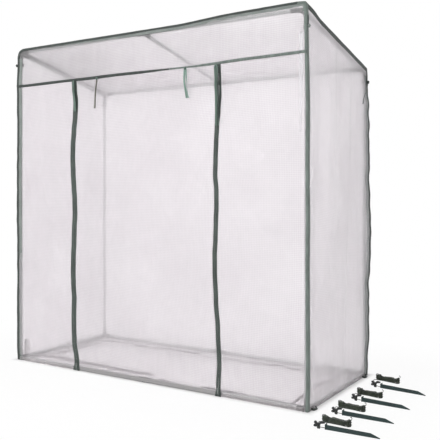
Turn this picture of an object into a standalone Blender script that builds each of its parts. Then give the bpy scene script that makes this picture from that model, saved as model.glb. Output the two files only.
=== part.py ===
"""Lean-to tomato greenhouse with its set of guy ropes.

A push-fit frame of steel tubes and moulded connectors carries a clear film cover. The front of
the cover has a fixed header, two fixed side panels and a door between two zips. The door rolls up
from its hem, and the zip sliders rise with it. Four pegs, each with a hanked guy rope and a
tensioner, lie beside the right wall.

The origin is on the ground in the middle of the front sill, +X runs to the right seen from the
front, +Y runs to the rear and +Z is up. All lengths are metres.
"""

import math

import bmesh
import bpy
import numpy as np
from mathutils import Matrix, Vector

# Overall sizes, measured over the cover
OUTER_WIDTH = 1.980
OUTER_DEPTH = 0.800
FRONT_HEIGHT = 1.930
ROOF_FALL = 0.175
HEADER_DROP = 0.230

# Tubes
TUBE_DIAMETER = 0.019
TUBE_WALL = 0.0008
TUBE_SIDES = 12

# Moulded connectors
SOCKET_WALL = 0.0022
SOCKET_DEPTH = 0.032
FIT_CLEARANCE = 0.0003
HUB_HALF = 0.0125
HUB_BEVEL = 0.003
ARM_ROOT = 0.002
BORE_START = 0.0145
COLLAR_LENGTH = 0.030
ELBOW_RADIUS = 0.045
ELBOW_LAND = 0.002
ELBOW_STEPS = 6

# Film cover
FILM_THICKNESS = 0.0005
FILM_CLEARANCE = 0.0003
FILM_BOTTOM = 0.003
CORNER_STEPS = 3

# Zips, which leave a slit between their two halves
ZIP_SPACING = 0.980
ZIP_TAPE_WIDTH = 0.013
ZIP_TAPE_THICKNESS = 0.001
ZIP_SLIT = 0.002
ZIP_RIB_WIDTH = 0.0022
ZIP_RIB_DEPTH = 0.0024

# Hem of the roll-up door
HEM_BOTTOM = 0.004
HEM_HEIGHT = 0.020
HEM_THICKNESS = 0.002
HEM_SIDE_CLEARANCE = 0.0005

# Zip sliders and their pulls
SLIDER_ABOVE_HEM = 0.004
SLIDER_HEIGHT = 0.015
SLIDER_WIDTH = 0.012
SLIDER_FRONT_PLATE = 0.0016
SLIDER_REAR_PLATE = 0.0012
SLIDER_FLANGE = 0.002
SLIDER_BRIDGE = 0.0012
SLIDER_BEVEL = 0.001
PIN_RADIUS = 0.0009
PIN_SIDES = 8
PIN_STANDOFF = 0.0032
PIN_ABOVE_MIDDLE = 0.003
EAR_THICKNESS = 0.0013
EAR_RADIUS = 0.0018
EAR_STEPS = 6
EYE_RADIUS = 0.0026
EYE_WIDTH = 0.003
PULL_LENGTH = 0.026
PULL_WIDTH = 0.008
PULL_THICKNESS = 0.0012
PULL_NECK = 0.006
PULL_HOLE_RADIUS = 0.002

# Pegs
PEG_LENGTH = 0.245
PEG_FLANGE_WIDTH = 0.019
PEG_WEB_HEIGHT = 0.0215
PEG_WEB_END_HEIGHT = 0.0180
PEG_WALL = 0.0022
PEG_TAPER = 0.040
PEG_POINT = 0.0024
PEG_HEAD_THICKNESS = 0.003
PEG_HEAD_WIDTH = 0.024
PEG_HEAD_HEIGHT = 0.0230
PEG_HEAD_LAP = 0.001

# Row of pegs beside the right wall: x and y of each head, turn in degrees, and the hank's middle in
# the peg's own frame
PEG_SETS = (
    (1.153, -0.187, 2.9, 0.020, 0.094),
    (1.142, 0.037, 1.4, 0.008, 0.108),
    (1.143, 0.286, -1.5, -0.002, 0.117),
    (1.143, 0.568, -4.5, -0.019, 0.143),
)

# Guy rope, wound into a hank of four layers
CORD_DIAMETER = 0.003
CORD_LIFT = 0.0003
CORD_JOINT_GAP = 0.0003
HANK_RUN = 0.114
HANK_INNER_RADIUS = 0.0095
HANK_STEP = 0.0039
HANK_LAYER_STEP = 0.0036
HANK_WAIST = 0.0045
HANK_POINTS_PER_QUARTER = 6
HANK_LEAD = 0.008
HANK_TURN = math.radians(-6.0)
LEAST_SELF_GAP = 0.0004

# Tensioner on the rope, a toothed plate that stands on its lowest tooth
TENSIONER_CENTRE = (-0.029, 0.002)
TENSIONER_TURN = math.radians(8.0)
TENSIONER_THICKNESS = 0.009
TENSIONER_HOLE_X = -0.004
TENSIONER_HOLE_HEIGHT = 0.015
TENSIONER_HOLE_CLEARANCE = 0.0008
TENSIONER_OUTLINE = (
    (0.0265, 0.0250),
    (0.0265, 0.0310),
    (0.0120, 0.0335),
    (0.0050, 0.0310),
    (0.0000, 0.0250),
    (-0.0070, 0.0245),
    (-0.0130, 0.0325),
    (-0.0205, 0.0305),
    (-0.0215, 0.0245),
    (-0.0140, 0.0195),
    (-0.0225, 0.0165),
    (-0.0235, 0.0095),
    (-0.0160, 0.0070),
    (-0.0090, 0.0085),
    (-0.0060, 0.0000),
    (0.0050, 0.0000),
    (0.0060, 0.0070),
    (0.0050, 0.0130),
    (0.0085, 0.0220),
)

# The rope's free stretch from the hank to the tensioner and on to the peg's head
TAIL_HEAD = (0.0055, 0.0055)
TAIL_REACH = 0.026
TAIL_LANDING_REACH = (0.018, 0.016)
TAIL_BEND_POINTS = 7
TAIL_SAMPLE = 0.0075
TAIL_SMOOTHING = 12

# Sizes worked out from the ones above
TUBE_RADIUS = TUBE_DIAMETER / 2
BORE_RADIUS = TUBE_RADIUS + FIT_CLEARANCE
SOCKET_RADIUS = BORE_RADIUS + SOCKET_WALL
FILM_OFFSET = HUB_HALF + FILM_CLEARANCE
SKIN = FILM_OFFSET + FILM_THICKNESS
POST_X = OUTER_WIDTH / 2 - SKIN
REAR_Y = OUTER_DEPTH - 2 * SKIN
HEADER_SEAM_HEIGHT = FRONT_HEIGHT - HEADER_DROP
SLOPE = ROOF_FALL / OUTER_DEPTH
TILT = math.atan(SLOPE)
SILL_Z = HUB_HALF
FRONT_RAIL_Z = FRONT_HEIGHT - SLOPE * SKIN - SKIN / math.cos(TILT)
REAR_RAIL_Z = FRONT_RAIL_Z - SLOPE * REAR_Y
ELBOW_INSET = ELBOW_RADIUS * (1 - math.cos(math.pi / 4))
SLOPE_DIRECTION = Vector((0, math.cos(TILT), -math.sin(TILT)))
ZIP_X = ZIP_SPACING / 2
DOOR_HALF_WIDTH = ZIP_X - ZIP_SLIT / 2
HEM_TOP = HEM_BOTTOM + HEM_HEIGHT
FRONT_Y_IN = -FILM_OFFSET
FRONT_Y_OUT = -SKIN
SLIDER_BOTTOM = HEM_TOP + SLIDER_ABOVE_HEM
SLIDER_MIDDLE = SLIDER_BOTTOM + SLIDER_HEIGHT / 2
PIN_Y = FRONT_Y_IN - ZIP_RIB_DEPTH - FIT_CLEARANCE - SLIDER_FRONT_PLATE - PIN_STANDOFF
CORD_RADIUS = CORD_DIAMETER / 2
CORD_REST_Z = CORD_RADIUS + CORD_LIFT
HANK_START_RADIUS = HANK_INNER_RADIUS + HANK_STEP

# Finishes: colour, roughness, metallic and alpha
FINISHES = {
    "green_steel": ((0.045, 0.085, 0.065), 0.45, 0.3, 1.0),
    "dark_plastic": ((0.022, 0.030, 0.027), 0.55, 0.0, 1.0),
    "film": ((0.86, 0.84, 0.86), 0.35, 0.0, 0.45),
    "zip_tape": ((0.090, 0.115, 0.100), 0.75, 0.0, 1.0),
    "hem_tape": ((0.060, 0.085, 0.072), 0.75, 0.0, 1.0),
    "slider_metal": ((0.300, 0.330, 0.310), 0.40, 0.8, 1.0),
    "peg_plastic": ((0.020, 0.055, 0.045), 0.45, 0.0, 1.0),
    "guy_rope": ((0.050, 0.080, 0.045), 0.85, 0.0, 1.0),
    "tensioner_plastic": ((0.010, 0.011, 0.012), 0.50, 0.0, 1.0),
}


def clear_scene():
    """Removes every object of the scene that the script starts in."""
    for old in list(bpy.data.objects):
        bpy.data.objects.remove(old, do_unlink=True)


def make_finish(name):
    """Makes one named finish as a Principled material."""
    colour, roughness, metallic, alpha = FINISHES[name]
    finish = bpy.data.materials.new(name)
    finish.use_nodes = True
    shader = finish.node_tree.nodes["Principled BSDF"]
    shader.inputs["Base Color"].default_value = (*colour, 1.0)
    shader.inputs["Roughness"].default_value = roughness
    shader.inputs["Metallic"].default_value = metallic
    shader.inputs["Alpha"].default_value = alpha
    return finish


# Placing and joining meshes


def add_object(name, data, finish, parent=None):
    """Links an object that holds the mesh or curve, dressed in its finish."""
    if not data.materials:
        data.materials.append(bpy.data.materials[finish])
    obj = bpy.data.objects.new(name, data)
    obj.parent = parent
    bpy.context.scene.collection.objects.link(obj)
    return obj


def mesh_from(name, bm):
    """Turns a bmesh into a mesh with its faces pointing out."""
    bmesh.ops.recalc_face_normals(bm, faces=bm.faces)
    mesh = bpy.data.meshes.new(name)
    bm.to_mesh(mesh)
    bm.free()
    return mesh


def shade_round(mesh):
    """Shades a round piece smooth, with its ends and corners kept sharp."""
    mesh.shade_smooth()
    mesh.set_sharp_from_angle(angle=math.radians(40))


def move_origin(obj, origin):
    """Puts an object's origin at a point and leaves its surface where it is."""
    obj.data.transform(Matrix.Translation(-Vector(origin)))
    obj.location = origin


def combine(name, solids, cutters=()):
    """Joins solids into one mesh and takes the cutters away from it."""
    pieces = [bpy.data.objects.new(f"{name}_step", mesh) for mesh in (*solids, *cutters)]
    for piece in pieces:
        bpy.context.scene.collection.objects.link(piece)
    body = pieces[0]
    for index, tool in enumerate(pieces[1:], start=1):
        step = body.modifiers.new(tool.name, "BOOLEAN")
        step.solver = "EXACT"
        step.operation = "UNION" if index < len(solids) else "DIFFERENCE"
        step.object = tool
    bpy.context.view_layer.update()
    graph = bpy.context.evaluated_depsgraph_get()
    result = bpy.data.meshes.new_from_object(body.evaluated_get(graph))
    result.name = name
    for piece in pieces:
        bpy.data.objects.remove(piece, do_unlink=True)
    return result


# Basic solids


def loft(name, rings, closed=False):
    """Makes a solid through rings of points, capped at both ends or closed into a ring itself."""
    bm = bmesh.new()
    loops = [[bm.verts.new(point) for point in ring] for ring in rings]
    followers = loops[1:] + loops[:1] if closed else loops[1:]
    for first, second in zip(loops, followers):
        for index, corner in enumerate(first):
            after = (index + 1) % len(first)
            bm.faces.new((corner, first[after], second[after], second[index]))
    if not closed:
        bm.faces.new(reversed(loops[0]))
        bm.faces.new(loops[-1])
    return mesh_from(name, bm)


def box(name, low, high):
    """Makes a box between two corners."""
    corners = ((low[0], low[1]), (high[0], low[1]), (high[0], high[1]), (low[0], high[1]))
    return loft(name, [[(x, y, z) for x, y in corners] for z in (low[2], high[2])])


def bevelled_box(name, low, high, width):
    """Makes a box whose edges are chamfered."""
    mesh = box(name, low, high)
    bm = bmesh.new()
    bm.from_mesh(mesh)
    bmesh.ops.bevel(bm, geom=bm.edges, offset=width, segments=1, affect="EDGES", profile=0.5, material=-1)
    bm.to_mesh(mesh)
    bm.free()
    return mesh


def bar_rings(start, end, radii, sides):
    """Gives rings of points round a bar, one for each pair of a radius and a share of its length."""
    start, end = Vector(start), Vector(end)
    turn = (end - start).to_track_quat("Z", "Y")
    across, up = turn @ Vector((1, 0, 0)), turn @ Vector((0, 1, 0))
    angles = [2 * math.pi * corner / sides for corner in range(sides)]
    return [
        [start.lerp(end, share) + radius * (across * math.cos(a) + up * math.sin(a)) for a in angles]
        for radius, share in radii
    ]


def round_bar(name, start, end, radius, sides=TUBE_SIDES):
    """Makes a solid round bar between two points."""
    return loft(name, bar_rings(start, end, ((radius, 0), (radius, 1)), sides))


def hollow_bar(name, start, end, outer, inner, sides=TUBE_SIDES):
    """Makes a round tube with open ends between two points."""
    radii = ((outer, 0), (outer, 1), (inner, 1), (inner, 0))
    return loft(name, bar_rings(start, end, radii, sides), closed=True)


def bent_bar(name, centre, side, radius, steps):
    """Makes the quarter bend of a top corner, from the post's side over to the rail's side."""
    rings = []
    for step in range(steps + 1):
        angle = math.pi / 2 * step / steps
        outward = Vector((side * math.cos(angle), 0, math.sin(angle)))
        middle = centre + outward * ELBOW_RADIUS
        ring = []
        for corner in range(TUBE_SIDES):
            around = 2 * math.pi * corner / TUBE_SIDES
            ring.append(middle + radius * (outward * math.cos(around) + Vector((0, math.sin(around), 0))))
        rings.append(ring)
    return loft(name, rings)


# Frame


def socket_arm(name, centre, direction, start):
    """Gives the solid arm of a push-fit socket and the bore that is cut in it."""
    direction = Vector(direction).normalized()
    end = start + SOCKET_DEPTH
    arm = round_bar(name, centre - direction * ARM_ROOT, centre + direction * end, SOCKET_RADIUS)
    bore = round_bar(name, centre + direction * start, centre + direction * (end + SOCKET_WALL), BORE_RADIUS)
    return arm, bore


def add_connector(name, solids, arms):
    """Makes a connector from its hub and its socket arms."""
    mesh = combine(name, [*solids, *(arm for arm, _ in arms)], [bore for _, bore in arms])
    shade_round(mesh)
    add_object(name, mesh, "dark_plastic")


def hub_block(centre):
    """Makes the chamfered block in the middle of a connector that stands on the ground."""
    half = Vector((HUB_HALF, HUB_HALF, HUB_HALF))
    return bevelled_box("hub", centre - half, centre + half, HUB_BEVEL)


def build_sill_corners():
    """Makes the four three-way corners on the ground."""
    for side_name, side in (("left", -1), ("right", 1)):
        for end_name, y, inward in (("front", 0, 1), ("rear", REAR_Y, -1)):
            name = f"{end_name}_{side_name}_sill_corner"
            centre = Vector((side * POST_X, y, SILL_Z))
            directions = ((0, 0, 1), (-side, 0, 0), (0, inward, 0))
            arms = [socket_arm(name, centre, direction, BORE_START) for direction in directions]
            add_connector(name, [hub_block(centre)], arms)


def build_sill_couplers():
    """Makes the straight couplers that join the halves of the front and rear sills."""
    for end_name, y in (("front", 0), ("rear", REAR_Y)):
        name = f"{end_name}_sill_coupler"
        centre = Vector((0, y, SILL_Z))
        arms = [socket_arm(name, centre, (side, 0, 0), BORE_START) for side in (-1, 1)]
        add_connector(name, [hub_block(centre)], arms)


def build_eave_elbows():
    """Makes the curved corners at the top, with an outlet for the rafter at the middle of the bend."""
    for side_name, side in (("left", -1), ("right", 1)):
        for end_name, y, rail_z, inward in (
            ("front", 0, FRONT_RAIL_Z, SLOPE_DIRECTION),
            ("rear", REAR_Y, REAR_RAIL_Z, -SLOPE_DIRECTION),
        ):
            name = f"{end_name}_{side_name}_elbow"
            centre = Vector((side * (POST_X - ELBOW_RADIUS), y, rail_z - ELBOW_RADIUS))
            bend = bent_bar(name, centre, side, HUB_HALF, ELBOW_STEPS)
            post_end = centre + Vector((side * ELBOW_RADIUS, 0, 0))
            rail_end = centre + Vector((0, 0, ELBOW_RADIUS))
            outlet = Vector((side * (POST_X - ELBOW_INSET), y, rail_z - ELBOW_INSET))
            arms = [
                socket_arm(name, post_end, (0, 0, -1), ELBOW_LAND),
                socket_arm(name, rail_end, (-side, 0, 0), ELBOW_LAND),
                socket_arm(name, outlet, inward, BORE_START),
            ]
            add_connector(name, [bend], arms)


def build_eave_tees():
    """Makes the tees that carry the middle rafter."""
    for end_name, y, rail_z, inward in (
        ("front", 0, FRONT_RAIL_Z, SLOPE_DIRECTION),
        ("rear", REAR_Y, REAR_RAIL_Z, -SLOPE_DIRECTION),
    ):
        name = f"{end_name}_eave_tee"
        centre = Vector((0, y, rail_z))
        half = Vector((COLLAR_LENGTH / 2, 0, 0))
        collar = round_bar(name, centre - half, centre + half, HUB_HALF)
        directions = (Vector((-1, 0, 0)), Vector((1, 0, 0)), inward)
        arms = [socket_arm(name, centre, direction, BORE_START) for direction in directions]
        add_connector(name, [collar], arms)


def add_tube(name, start, end, start_depth, end_depth):
    """Makes a tube between two connector centres, seated at the given depths from them."""
    start, end = Vector(start), Vector(end)
    along = (end - start).normalized()
    low = start + along * (start_depth + FIT_CLEARANCE)
    high = end - along * (end_depth + FIT_CLEARANCE)
    mesh = hollow_bar(name, low, high, TUBE_RADIUS, TUBE_RADIUS - TUBE_WALL)
    shade_round(mesh)
    add_object(name, mesh, "green_steel")


def build_posts():
    """Makes the four posts."""
    top_depth = ELBOW_RADIUS + ELBOW_LAND
    for side_name, side in (("left", -1), ("right", 1)):
        for end_name, y, rail_z in (("front", 0, FRONT_RAIL_Z), ("rear", REAR_Y, REAR_RAIL_Z)):
            foot = (side * POST_X, y, SILL_Z)
            head = (side * POST_X, y, rail_z)
            add_tube(f"{end_name}_{side_name}_post", foot, head, BORE_START, top_depth)


def build_sill_tubes():
    """Makes the tubes on the ground, in halves along the front and the rear."""
    for side_name, side in (("left", -1), ("right", 1)):
        for end_name, y in (("front", 0), ("rear", REAR_Y)):
            name = f"{end_name}_{side_name}_sill_tube"
            add_tube(name, (0, y, SILL_Z), (side * POST_X, y, SILL_Z), BORE_START, BORE_START)
        front = (side * POST_X, 0, SILL_Z)
        rear = (side * POST_X, REAR_Y, SILL_Z)
        add_tube(f"{side_name}_side_sill_tube", front, rear, BORE_START, BORE_START)


def build_eave_tubes():
    """Makes the top rails, in halves along the front and the rear."""
    end_depth = ELBOW_RADIUS + ELBOW_LAND
    for side_name, side in (("left", -1), ("right", 1)):
        for end_name, y, rail_z in (("front", 0, FRONT_RAIL_Z), ("rear", REAR_Y, REAR_RAIL_Z)):
            name = f"{end_name}_{side_name}_eave_tube"
            add_tube(name, (0, y, rail_z), (side * POST_X, y, rail_z), BORE_START, end_depth)


def build_rafters():
    """Makes the three sloping rafters, the outer ones on the middles of the bends."""
    for name, side in (("left", -1), ("middle", 0), ("right", 1)):
        x = side * (POST_X - ELBOW_INSET)
        drop = abs(side) * ELBOW_INSET
        front = (x, 0, FRONT_RAIL_Z - drop)
        rear = (x, REAR_Y, REAR_RAIL_Z - drop)
        add_tube(f"{name}_rafter", front, rear, BORE_START, BORE_START)


# Film cover


def rail_height(y):
    """Gives the height of the roof's rail line at a depth."""
    return FRONT_RAIL_Z - SLOPE * y


def skin_point(side, angle, y, offset):
    """Gives a point of the cover's rounded top edge, seen from the front, at an offset from the tubes."""
    x = side * (POST_X - ELBOW_RADIUS + (ELBOW_RADIUS + offset) * math.cos(angle))
    rise = (ELBOW_RADIUS + offset / math.cos(TILT)) * math.sin(angle)
    return Vector((x, y, rail_height(y) - ELBOW_RADIUS + rise))


def corner_angles(first, last):
    """Gives the angles of one rounded edge, with an eighth of a turn in CORNER_STEPS."""
    count = max(1, round((last - first) / (math.pi / 4) * CORNER_STEPS))
    return [first + (last - first) * step / count for step in range(count + 1)]


def seam_half_angle():
    """Gives half the slit between roof and side film, as an angle of the rounded edge."""
    return FILM_CLEARANCE / 2 / (ELBOW_RADIUS + FILM_OFFSET)


def build_roof_film():
    """Makes the roof film, whose sides turn down over the outer rafters."""
    angles = corner_angles(math.pi / 4 + seam_half_angle(), math.pi / 2)
    rings = []
    for y in (FRONT_Y_IN + FILM_CLEARANCE, REAR_Y + FILM_OFFSET - FILM_CLEARANCE):
        outer = [skin_point(1, angle, y, SKIN) for angle in angles]
        outer += [skin_point(-1, angle, y, SKIN) for angle in reversed(angles)]
        inner = [skin_point(-1, angle, y, FILM_OFFSET) for angle in angles]
        inner += [skin_point(1, angle, y, FILM_OFFSET) for angle in reversed(angles)]
        rings.append(outer + inner)
    add_object("roof_film", loft("roof_film", rings), "film")


def build_side_films():
    """Makes the side films, whose tops turn in over the outer rafters."""
    angles = corner_angles(0, math.pi / 4 - seam_half_angle())
    for side_name, side in (("left", -1), ("right", 1)):
        name = f"{side_name}_side_film"
        rings = []
        for y in (FRONT_Y_IN + FILM_CLEARANCE, REAR_Y + FILM_OFFSET - FILM_CLEARANCE):
            outer = [skin_point(side, angle, y, SKIN) for angle in angles]
            inner = [skin_point(side, angle, y, FILM_OFFSET) for angle in reversed(angles)]
            feet = [(side * (POST_X + offset), y, FILM_BOTTOM) for offset in (FILM_OFFSET, SKIN)]
            rings.append([*outer, *inner, *feet])
        add_object(name, loft(name, rings), "film")


def end_outline(y, rail_y, bottom):
    """Gives the outline of a front or rear film seen from the front, down to its lower edge."""
    angles = corner_angles(0, math.pi / 2)
    shift = Vector((0, y - rail_y, 0))
    right = [skin_point(1, angle, rail_y, SKIN) + shift for angle in angles]
    left = [skin_point(-1, angle, rail_y, SKIN) + shift for angle in reversed(angles)]
    half = OUTER_WIDTH / 2
    return [*right, *left, Vector((-half, y, bottom)), Vector((half, y, bottom))]


def build_end_films():
    """Makes the rear film and the fixed header film over the door."""
    header_bottom = HEADER_SEAM_HEIGHT + FILM_CLEARANCE / 2
    header = [end_outline(y, FRONT_Y_OUT, header_bottom) for y in (FRONT_Y_OUT, FRONT_Y_IN)]
    add_object("header_film", loft("header_film", header), "film")
    rear_in = REAR_Y + FILM_OFFSET
    rear_out = REAR_Y + SKIN
    rear = [end_outline(y, rear_out, FILM_BOTTOM) for y in (rear_in, rear_out)]
    add_object("rear_film", loft("rear_film", rear), "film")


def build_front_panels():
    """Makes the fixed films to the left and the right of the door."""
    top = HEADER_SEAM_HEIGHT - FILM_CLEARANCE / 2
    inner_edge = DOOR_HALF_WIDTH + ZIP_SLIT + ZIP_TAPE_WIDTH + FILM_CLEARANCE
    for side_name, side in (("left", -1), ("right", 1)):
        name = f"front_{side_name}_film"
        first, last = sorted((side * inner_edge, side * OUTER_WIDTH / 2))
        panel = box(name, (first, FRONT_Y_OUT, FILM_BOTTOM), (last, FRONT_Y_IN, top))
        add_object(name, panel, "film")


def build_zips():
    """Makes the fixed half of each zip, a tape with a raised rib of teeth along the slit."""
    top = HEADER_SEAM_HEIGHT - FILM_CLEARANCE / 2
    for side_name, side in (("left", -1), ("right", 1)):
        name = f"{side_name}_zip"
        rib = DOOR_HALF_WIDTH + ZIP_SLIT
        tape_y = FRONT_Y_IN - ZIP_TAPE_THICKNESS
        rib_y = FRONT_Y_IN - ZIP_RIB_DEPTH
        section = (
            (rib, FRONT_Y_IN),
            (rib + ZIP_TAPE_WIDTH, FRONT_Y_IN),
            (rib + ZIP_TAPE_WIDTH, tape_y),
            (rib + ZIP_RIB_WIDTH, tape_y),
            (rib + ZIP_RIB_WIDTH, rib_y),
            (rib, rib_y),
        )
        rings = [[(side * x, y, z) for x, y in section] for z in (FILM_BOTTOM, top)]
        add_object(name, loft(name, rings), "zip_tape")


# Roll-up door


def build_door():
    """Makes the door film, which gathers up to the header seam, and the hem that it rolls up on."""
    top = HEADER_SEAM_HEIGHT - FILM_CLEARANCE / 2
    low = (-DOOR_HALF_WIDTH, FRONT_Y_OUT, HEM_TOP + FILM_CLEARANCE)
    film = add_object("door_film", box("door_film", low, (DOOR_HALF_WIDTH, FRONT_Y_IN, top)), "film")
    move_origin(film, (0, FRONT_Y_IN, top))
    half = DOOR_HALF_WIDTH - HEM_SIDE_CLEARANCE
    hem_low = (-half, FRONT_Y_IN - HEM_THICKNESS, HEM_BOTTOM)
    hem = add_object("door_hem", box("door_hem", hem_low, (half, FRONT_Y_IN, HEM_TOP)), "hem_tape")
    move_origin(hem, (0, FRONT_Y_IN, (HEM_BOTTOM + HEM_TOP) / 2))


def slider_section(half_width, z):
    """Gives a slider's section seen from above: front plate with flanges, bridge and rear plate."""
    plate_out = FRONT_Y_IN - ZIP_RIB_DEPTH - FIT_CLEARANCE - SLIDER_FRONT_PLATE
    plate_in = plate_out + SLIDER_FRONT_PLATE
    flange_back = FRONT_Y_IN - ZIP_TAPE_THICKNESS - FIT_CLEARANCE
    rear_in = FRONT_Y_IN + FIT_CLEARANCE
    rear_out = rear_in + SLIDER_REAR_PLATE
    groove = SLIDER_WIDTH / 2 - SLIDER_FLANGE
    bridge = SLIDER_BRIDGE / 2
    right = (
        (half_width, plate_out),
        (half_width, flange_back),
        (groove, flange_back),
        (groove, plate_in),
        (bridge, plate_in),
        (bridge, rear_in),
        (half_width, rear_in),
        (half_width, rear_out),
    )
    left = [(-x, y) for x, y in reversed(right)]
    return [(x, y, z) for x, y in (*right, *left)]


def slider_mesh():
    """Makes a zip slider round its own middle, with two ears that hold the pin of its pull."""
    half_height = SLIDER_HEIGHT / 2
    half_width = SLIDER_WIDTH / 2
    body = loft(
        "slider",
        [
            slider_section(half_width - SLIDER_BEVEL, -half_height),
            slider_section(half_width, -half_height + SLIDER_BEVEL),
            slider_section(half_width, half_height - SLIDER_BEVEL),
            slider_section(half_width - SLIDER_BEVEL, half_height),
        ],
    )
    ear_in = EYE_WIDTH / 2 + FIT_CLEARANCE
    solids = [body]
    for side in (-1, 1):
        nose = [math.pi / 2 + math.pi * step / EAR_STEPS for step in range(EAR_STEPS + 1)]
        outline = [
            (PIN_Y + EAR_RADIUS * math.cos(angle), PIN_ABOVE_MIDDLE + EAR_RADIUS * math.sin(angle))
            for angle in nose
        ]
        root = PIN_Y + PIN_STANDOFF + SLIDER_FRONT_PLATE / 2
        outline.append((root, PIN_ABOVE_MIDDLE - EAR_RADIUS))
        outline.append((root, PIN_ABOVE_MIDDLE + EAR_RADIUS))
        rings = [[(side * x, y, z) for y, z in outline] for x in (ear_in, ear_in + EAR_THICKNESS)]
        solids.append(loft("slider", rings))
    pin_half = ear_in + EAR_THICKNESS / 2
    pin_ends = [(side * pin_half, PIN_Y, PIN_ABOVE_MIDDLE) for side in (-1, 1)]
    solids.append(round_bar("slider", *pin_ends, PIN_RADIUS, PIN_SIDES))
    return combine("slider", solids)


def pull_mesh():
    """Makes a slider's pull round its pin: an eye, a neck and a pierced tab that hangs from them."""
    half_eye = EYE_WIDTH / 2
    half_tab = PULL_THICKNESS / 2
    eye = round_bar("pull", (-half_eye, 0, 0), (half_eye, 0, 0), EYE_RADIUS)
    neck_top = -(PIN_RADIUS + EYE_RADIUS) / 2
    neck = box("pull", (-half_eye, -half_tab, -PULL_NECK - half_tab), (half_eye, half_tab, neck_top))
    tab = bevelled_box(
        "pull",
        (-PULL_WIDTH / 2, -half_tab, -PULL_LENGTH),
        (PULL_WIDTH / 2, half_tab, -PULL_NECK),
        PULL_THICKNESS / 4,
    )
    bore = round_bar("pull", (-EYE_WIDTH, 0, 0), (EYE_WIDTH, 0, 0), PIN_RADIUS + FIT_CLEARANCE, PIN_SIDES)
    hole_z = -PULL_LENGTH + 2 * PULL_HOLE_RADIUS
    hole = round_bar(
        "pull",
        (0, -PULL_THICKNESS, hole_z),
        (0, PULL_THICKNESS, hole_z),
        PULL_HOLE_RADIUS,
    )
    return combine("pull", [eye, neck, tab], [bore, hole])


def build_sliders():
    """Makes the two zip sliders and the pulls that hang on their pins."""
    slider = slider_mesh()
    pull = pull_mesh()
    for side_name, side in (("left", -1), ("right", 1)):
        body = add_object(f"{side_name}_slider", slider, "slider_metal")
        body.location = (side * ZIP_X, 0, SLIDER_MIDDLE)
        tab = add_object(f"{side_name}_pull", pull, "slider_metal")
        tab.location = (side * ZIP_X, PIN_Y, SLIDER_MIDDLE + PIN_ABOVE_MIDDLE)


# Pegs and guy ropes, each set in its own frame from the outer face of the peg's head


def peg_section(x, width, height):
    """Gives a peg's angle section at a distance from its head, with its corner on the ground."""
    wall = PEG_WALL
    return [(x, 0, 0), (x, width, 0), (x, width, wall), (x, wall, wall), (x, wall, height), (x, 0, height)]


def peg_mesh():
    """Makes an angle-section peg that lies on one flange, with its point at the corner of the angle."""
    point = PEG_WALL + PEG_POINT / 2
    stake = loft(
        "peg",
        [
            peg_section(PEG_HEAD_THICKNESS - PEG_HEAD_LAP, PEG_FLANGE_WIDTH, PEG_WEB_HEIGHT),
            peg_section(PEG_LENGTH - PEG_TAPER, PEG_FLANGE_WIDTH, PEG_WEB_END_HEIGHT),
            peg_section(PEG_LENGTH, point, point),
        ],
    )
    head_low = (0, (PEG_FLANGE_WIDTH - PEG_HEAD_WIDTH) / 2, 0)
    head_high = (PEG_HEAD_THICKNESS, (PEG_FLANGE_WIDTH + PEG_HEAD_WIDTH) / 2, PEG_HEAD_HEIGHT)
    return combine("peg", [stake, box("peg", head_low, head_high)])


def tensioner_frame():
    """Gives the placing of the tensioner in the set's frame."""
    x, y = TENSIONER_CENTRE
    return Matrix.Translation((x, y, 0)) @ Matrix.Rotation(TENSIONER_TURN, 4, "Z")


def tensioner_mesh():
    """Makes the tensioner, a toothed plate with a hole that the rope runs through."""
    half = TENSIONER_THICKNESS / 2
    plate = loft("tensioner", [[(x, y, z) for x, z in TENSIONER_OUTLINE] for y in (half, -half)])
    hole = round_bar(
        "tensioner",
        (TENSIONER_HOLE_X, -TENSIONER_THICKNESS, TENSIONER_HOLE_HEIGHT),
        (TENSIONER_HOLE_X, TENSIONER_THICKNESS, TENSIONER_HOLE_HEIGHT),
        CORD_RADIUS + TENSIONER_HOLE_CLEARANCE,
    )
    mesh = combine("tensioner", [plate], [hole])
    mesh.transform(tensioner_frame())
    return mesh


def hank_quarter(quarter, share, radius):
    """Gives a point on one quarter of a loop: right end, far run, left end or near run."""
    half = HANK_RUN / 2
    if quarter in (0, 2):
        side = 1 if quarter == 0 else -1
        angle = (share - 0.5) * math.pi
        return side * (half + radius * math.cos(angle)), side * radius * math.sin(angle)
    side = 1 if quarter == 1 else -1
    drawn_in = HANK_WAIST * math.sin(math.pi * share) ** 2
    return side * (half - HANK_RUN * share), side * (radius - drawn_in)


def hank_stages():
    """Gives the winding's stages: quarters of a loop, radius gained in each quarter, layers climbed."""
    widening = HANK_STEP / 4
    return (
        (4, -widening, 0),
        (1, 0, 1),
        (5, widening, 0),
        (1, 0, 1),
        (5, -widening, 0),
        (1, 0, 1),
        (4.5, widening, 0),
    )


def hank_frame(x, y):
    """Gives the placing in the set's frame of a hank with its middle at x and y."""
    return Matrix.Translation((x, y, CORD_REST_Z)) @ Matrix.Rotation(HANK_TURN, 4, "Z")


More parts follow.
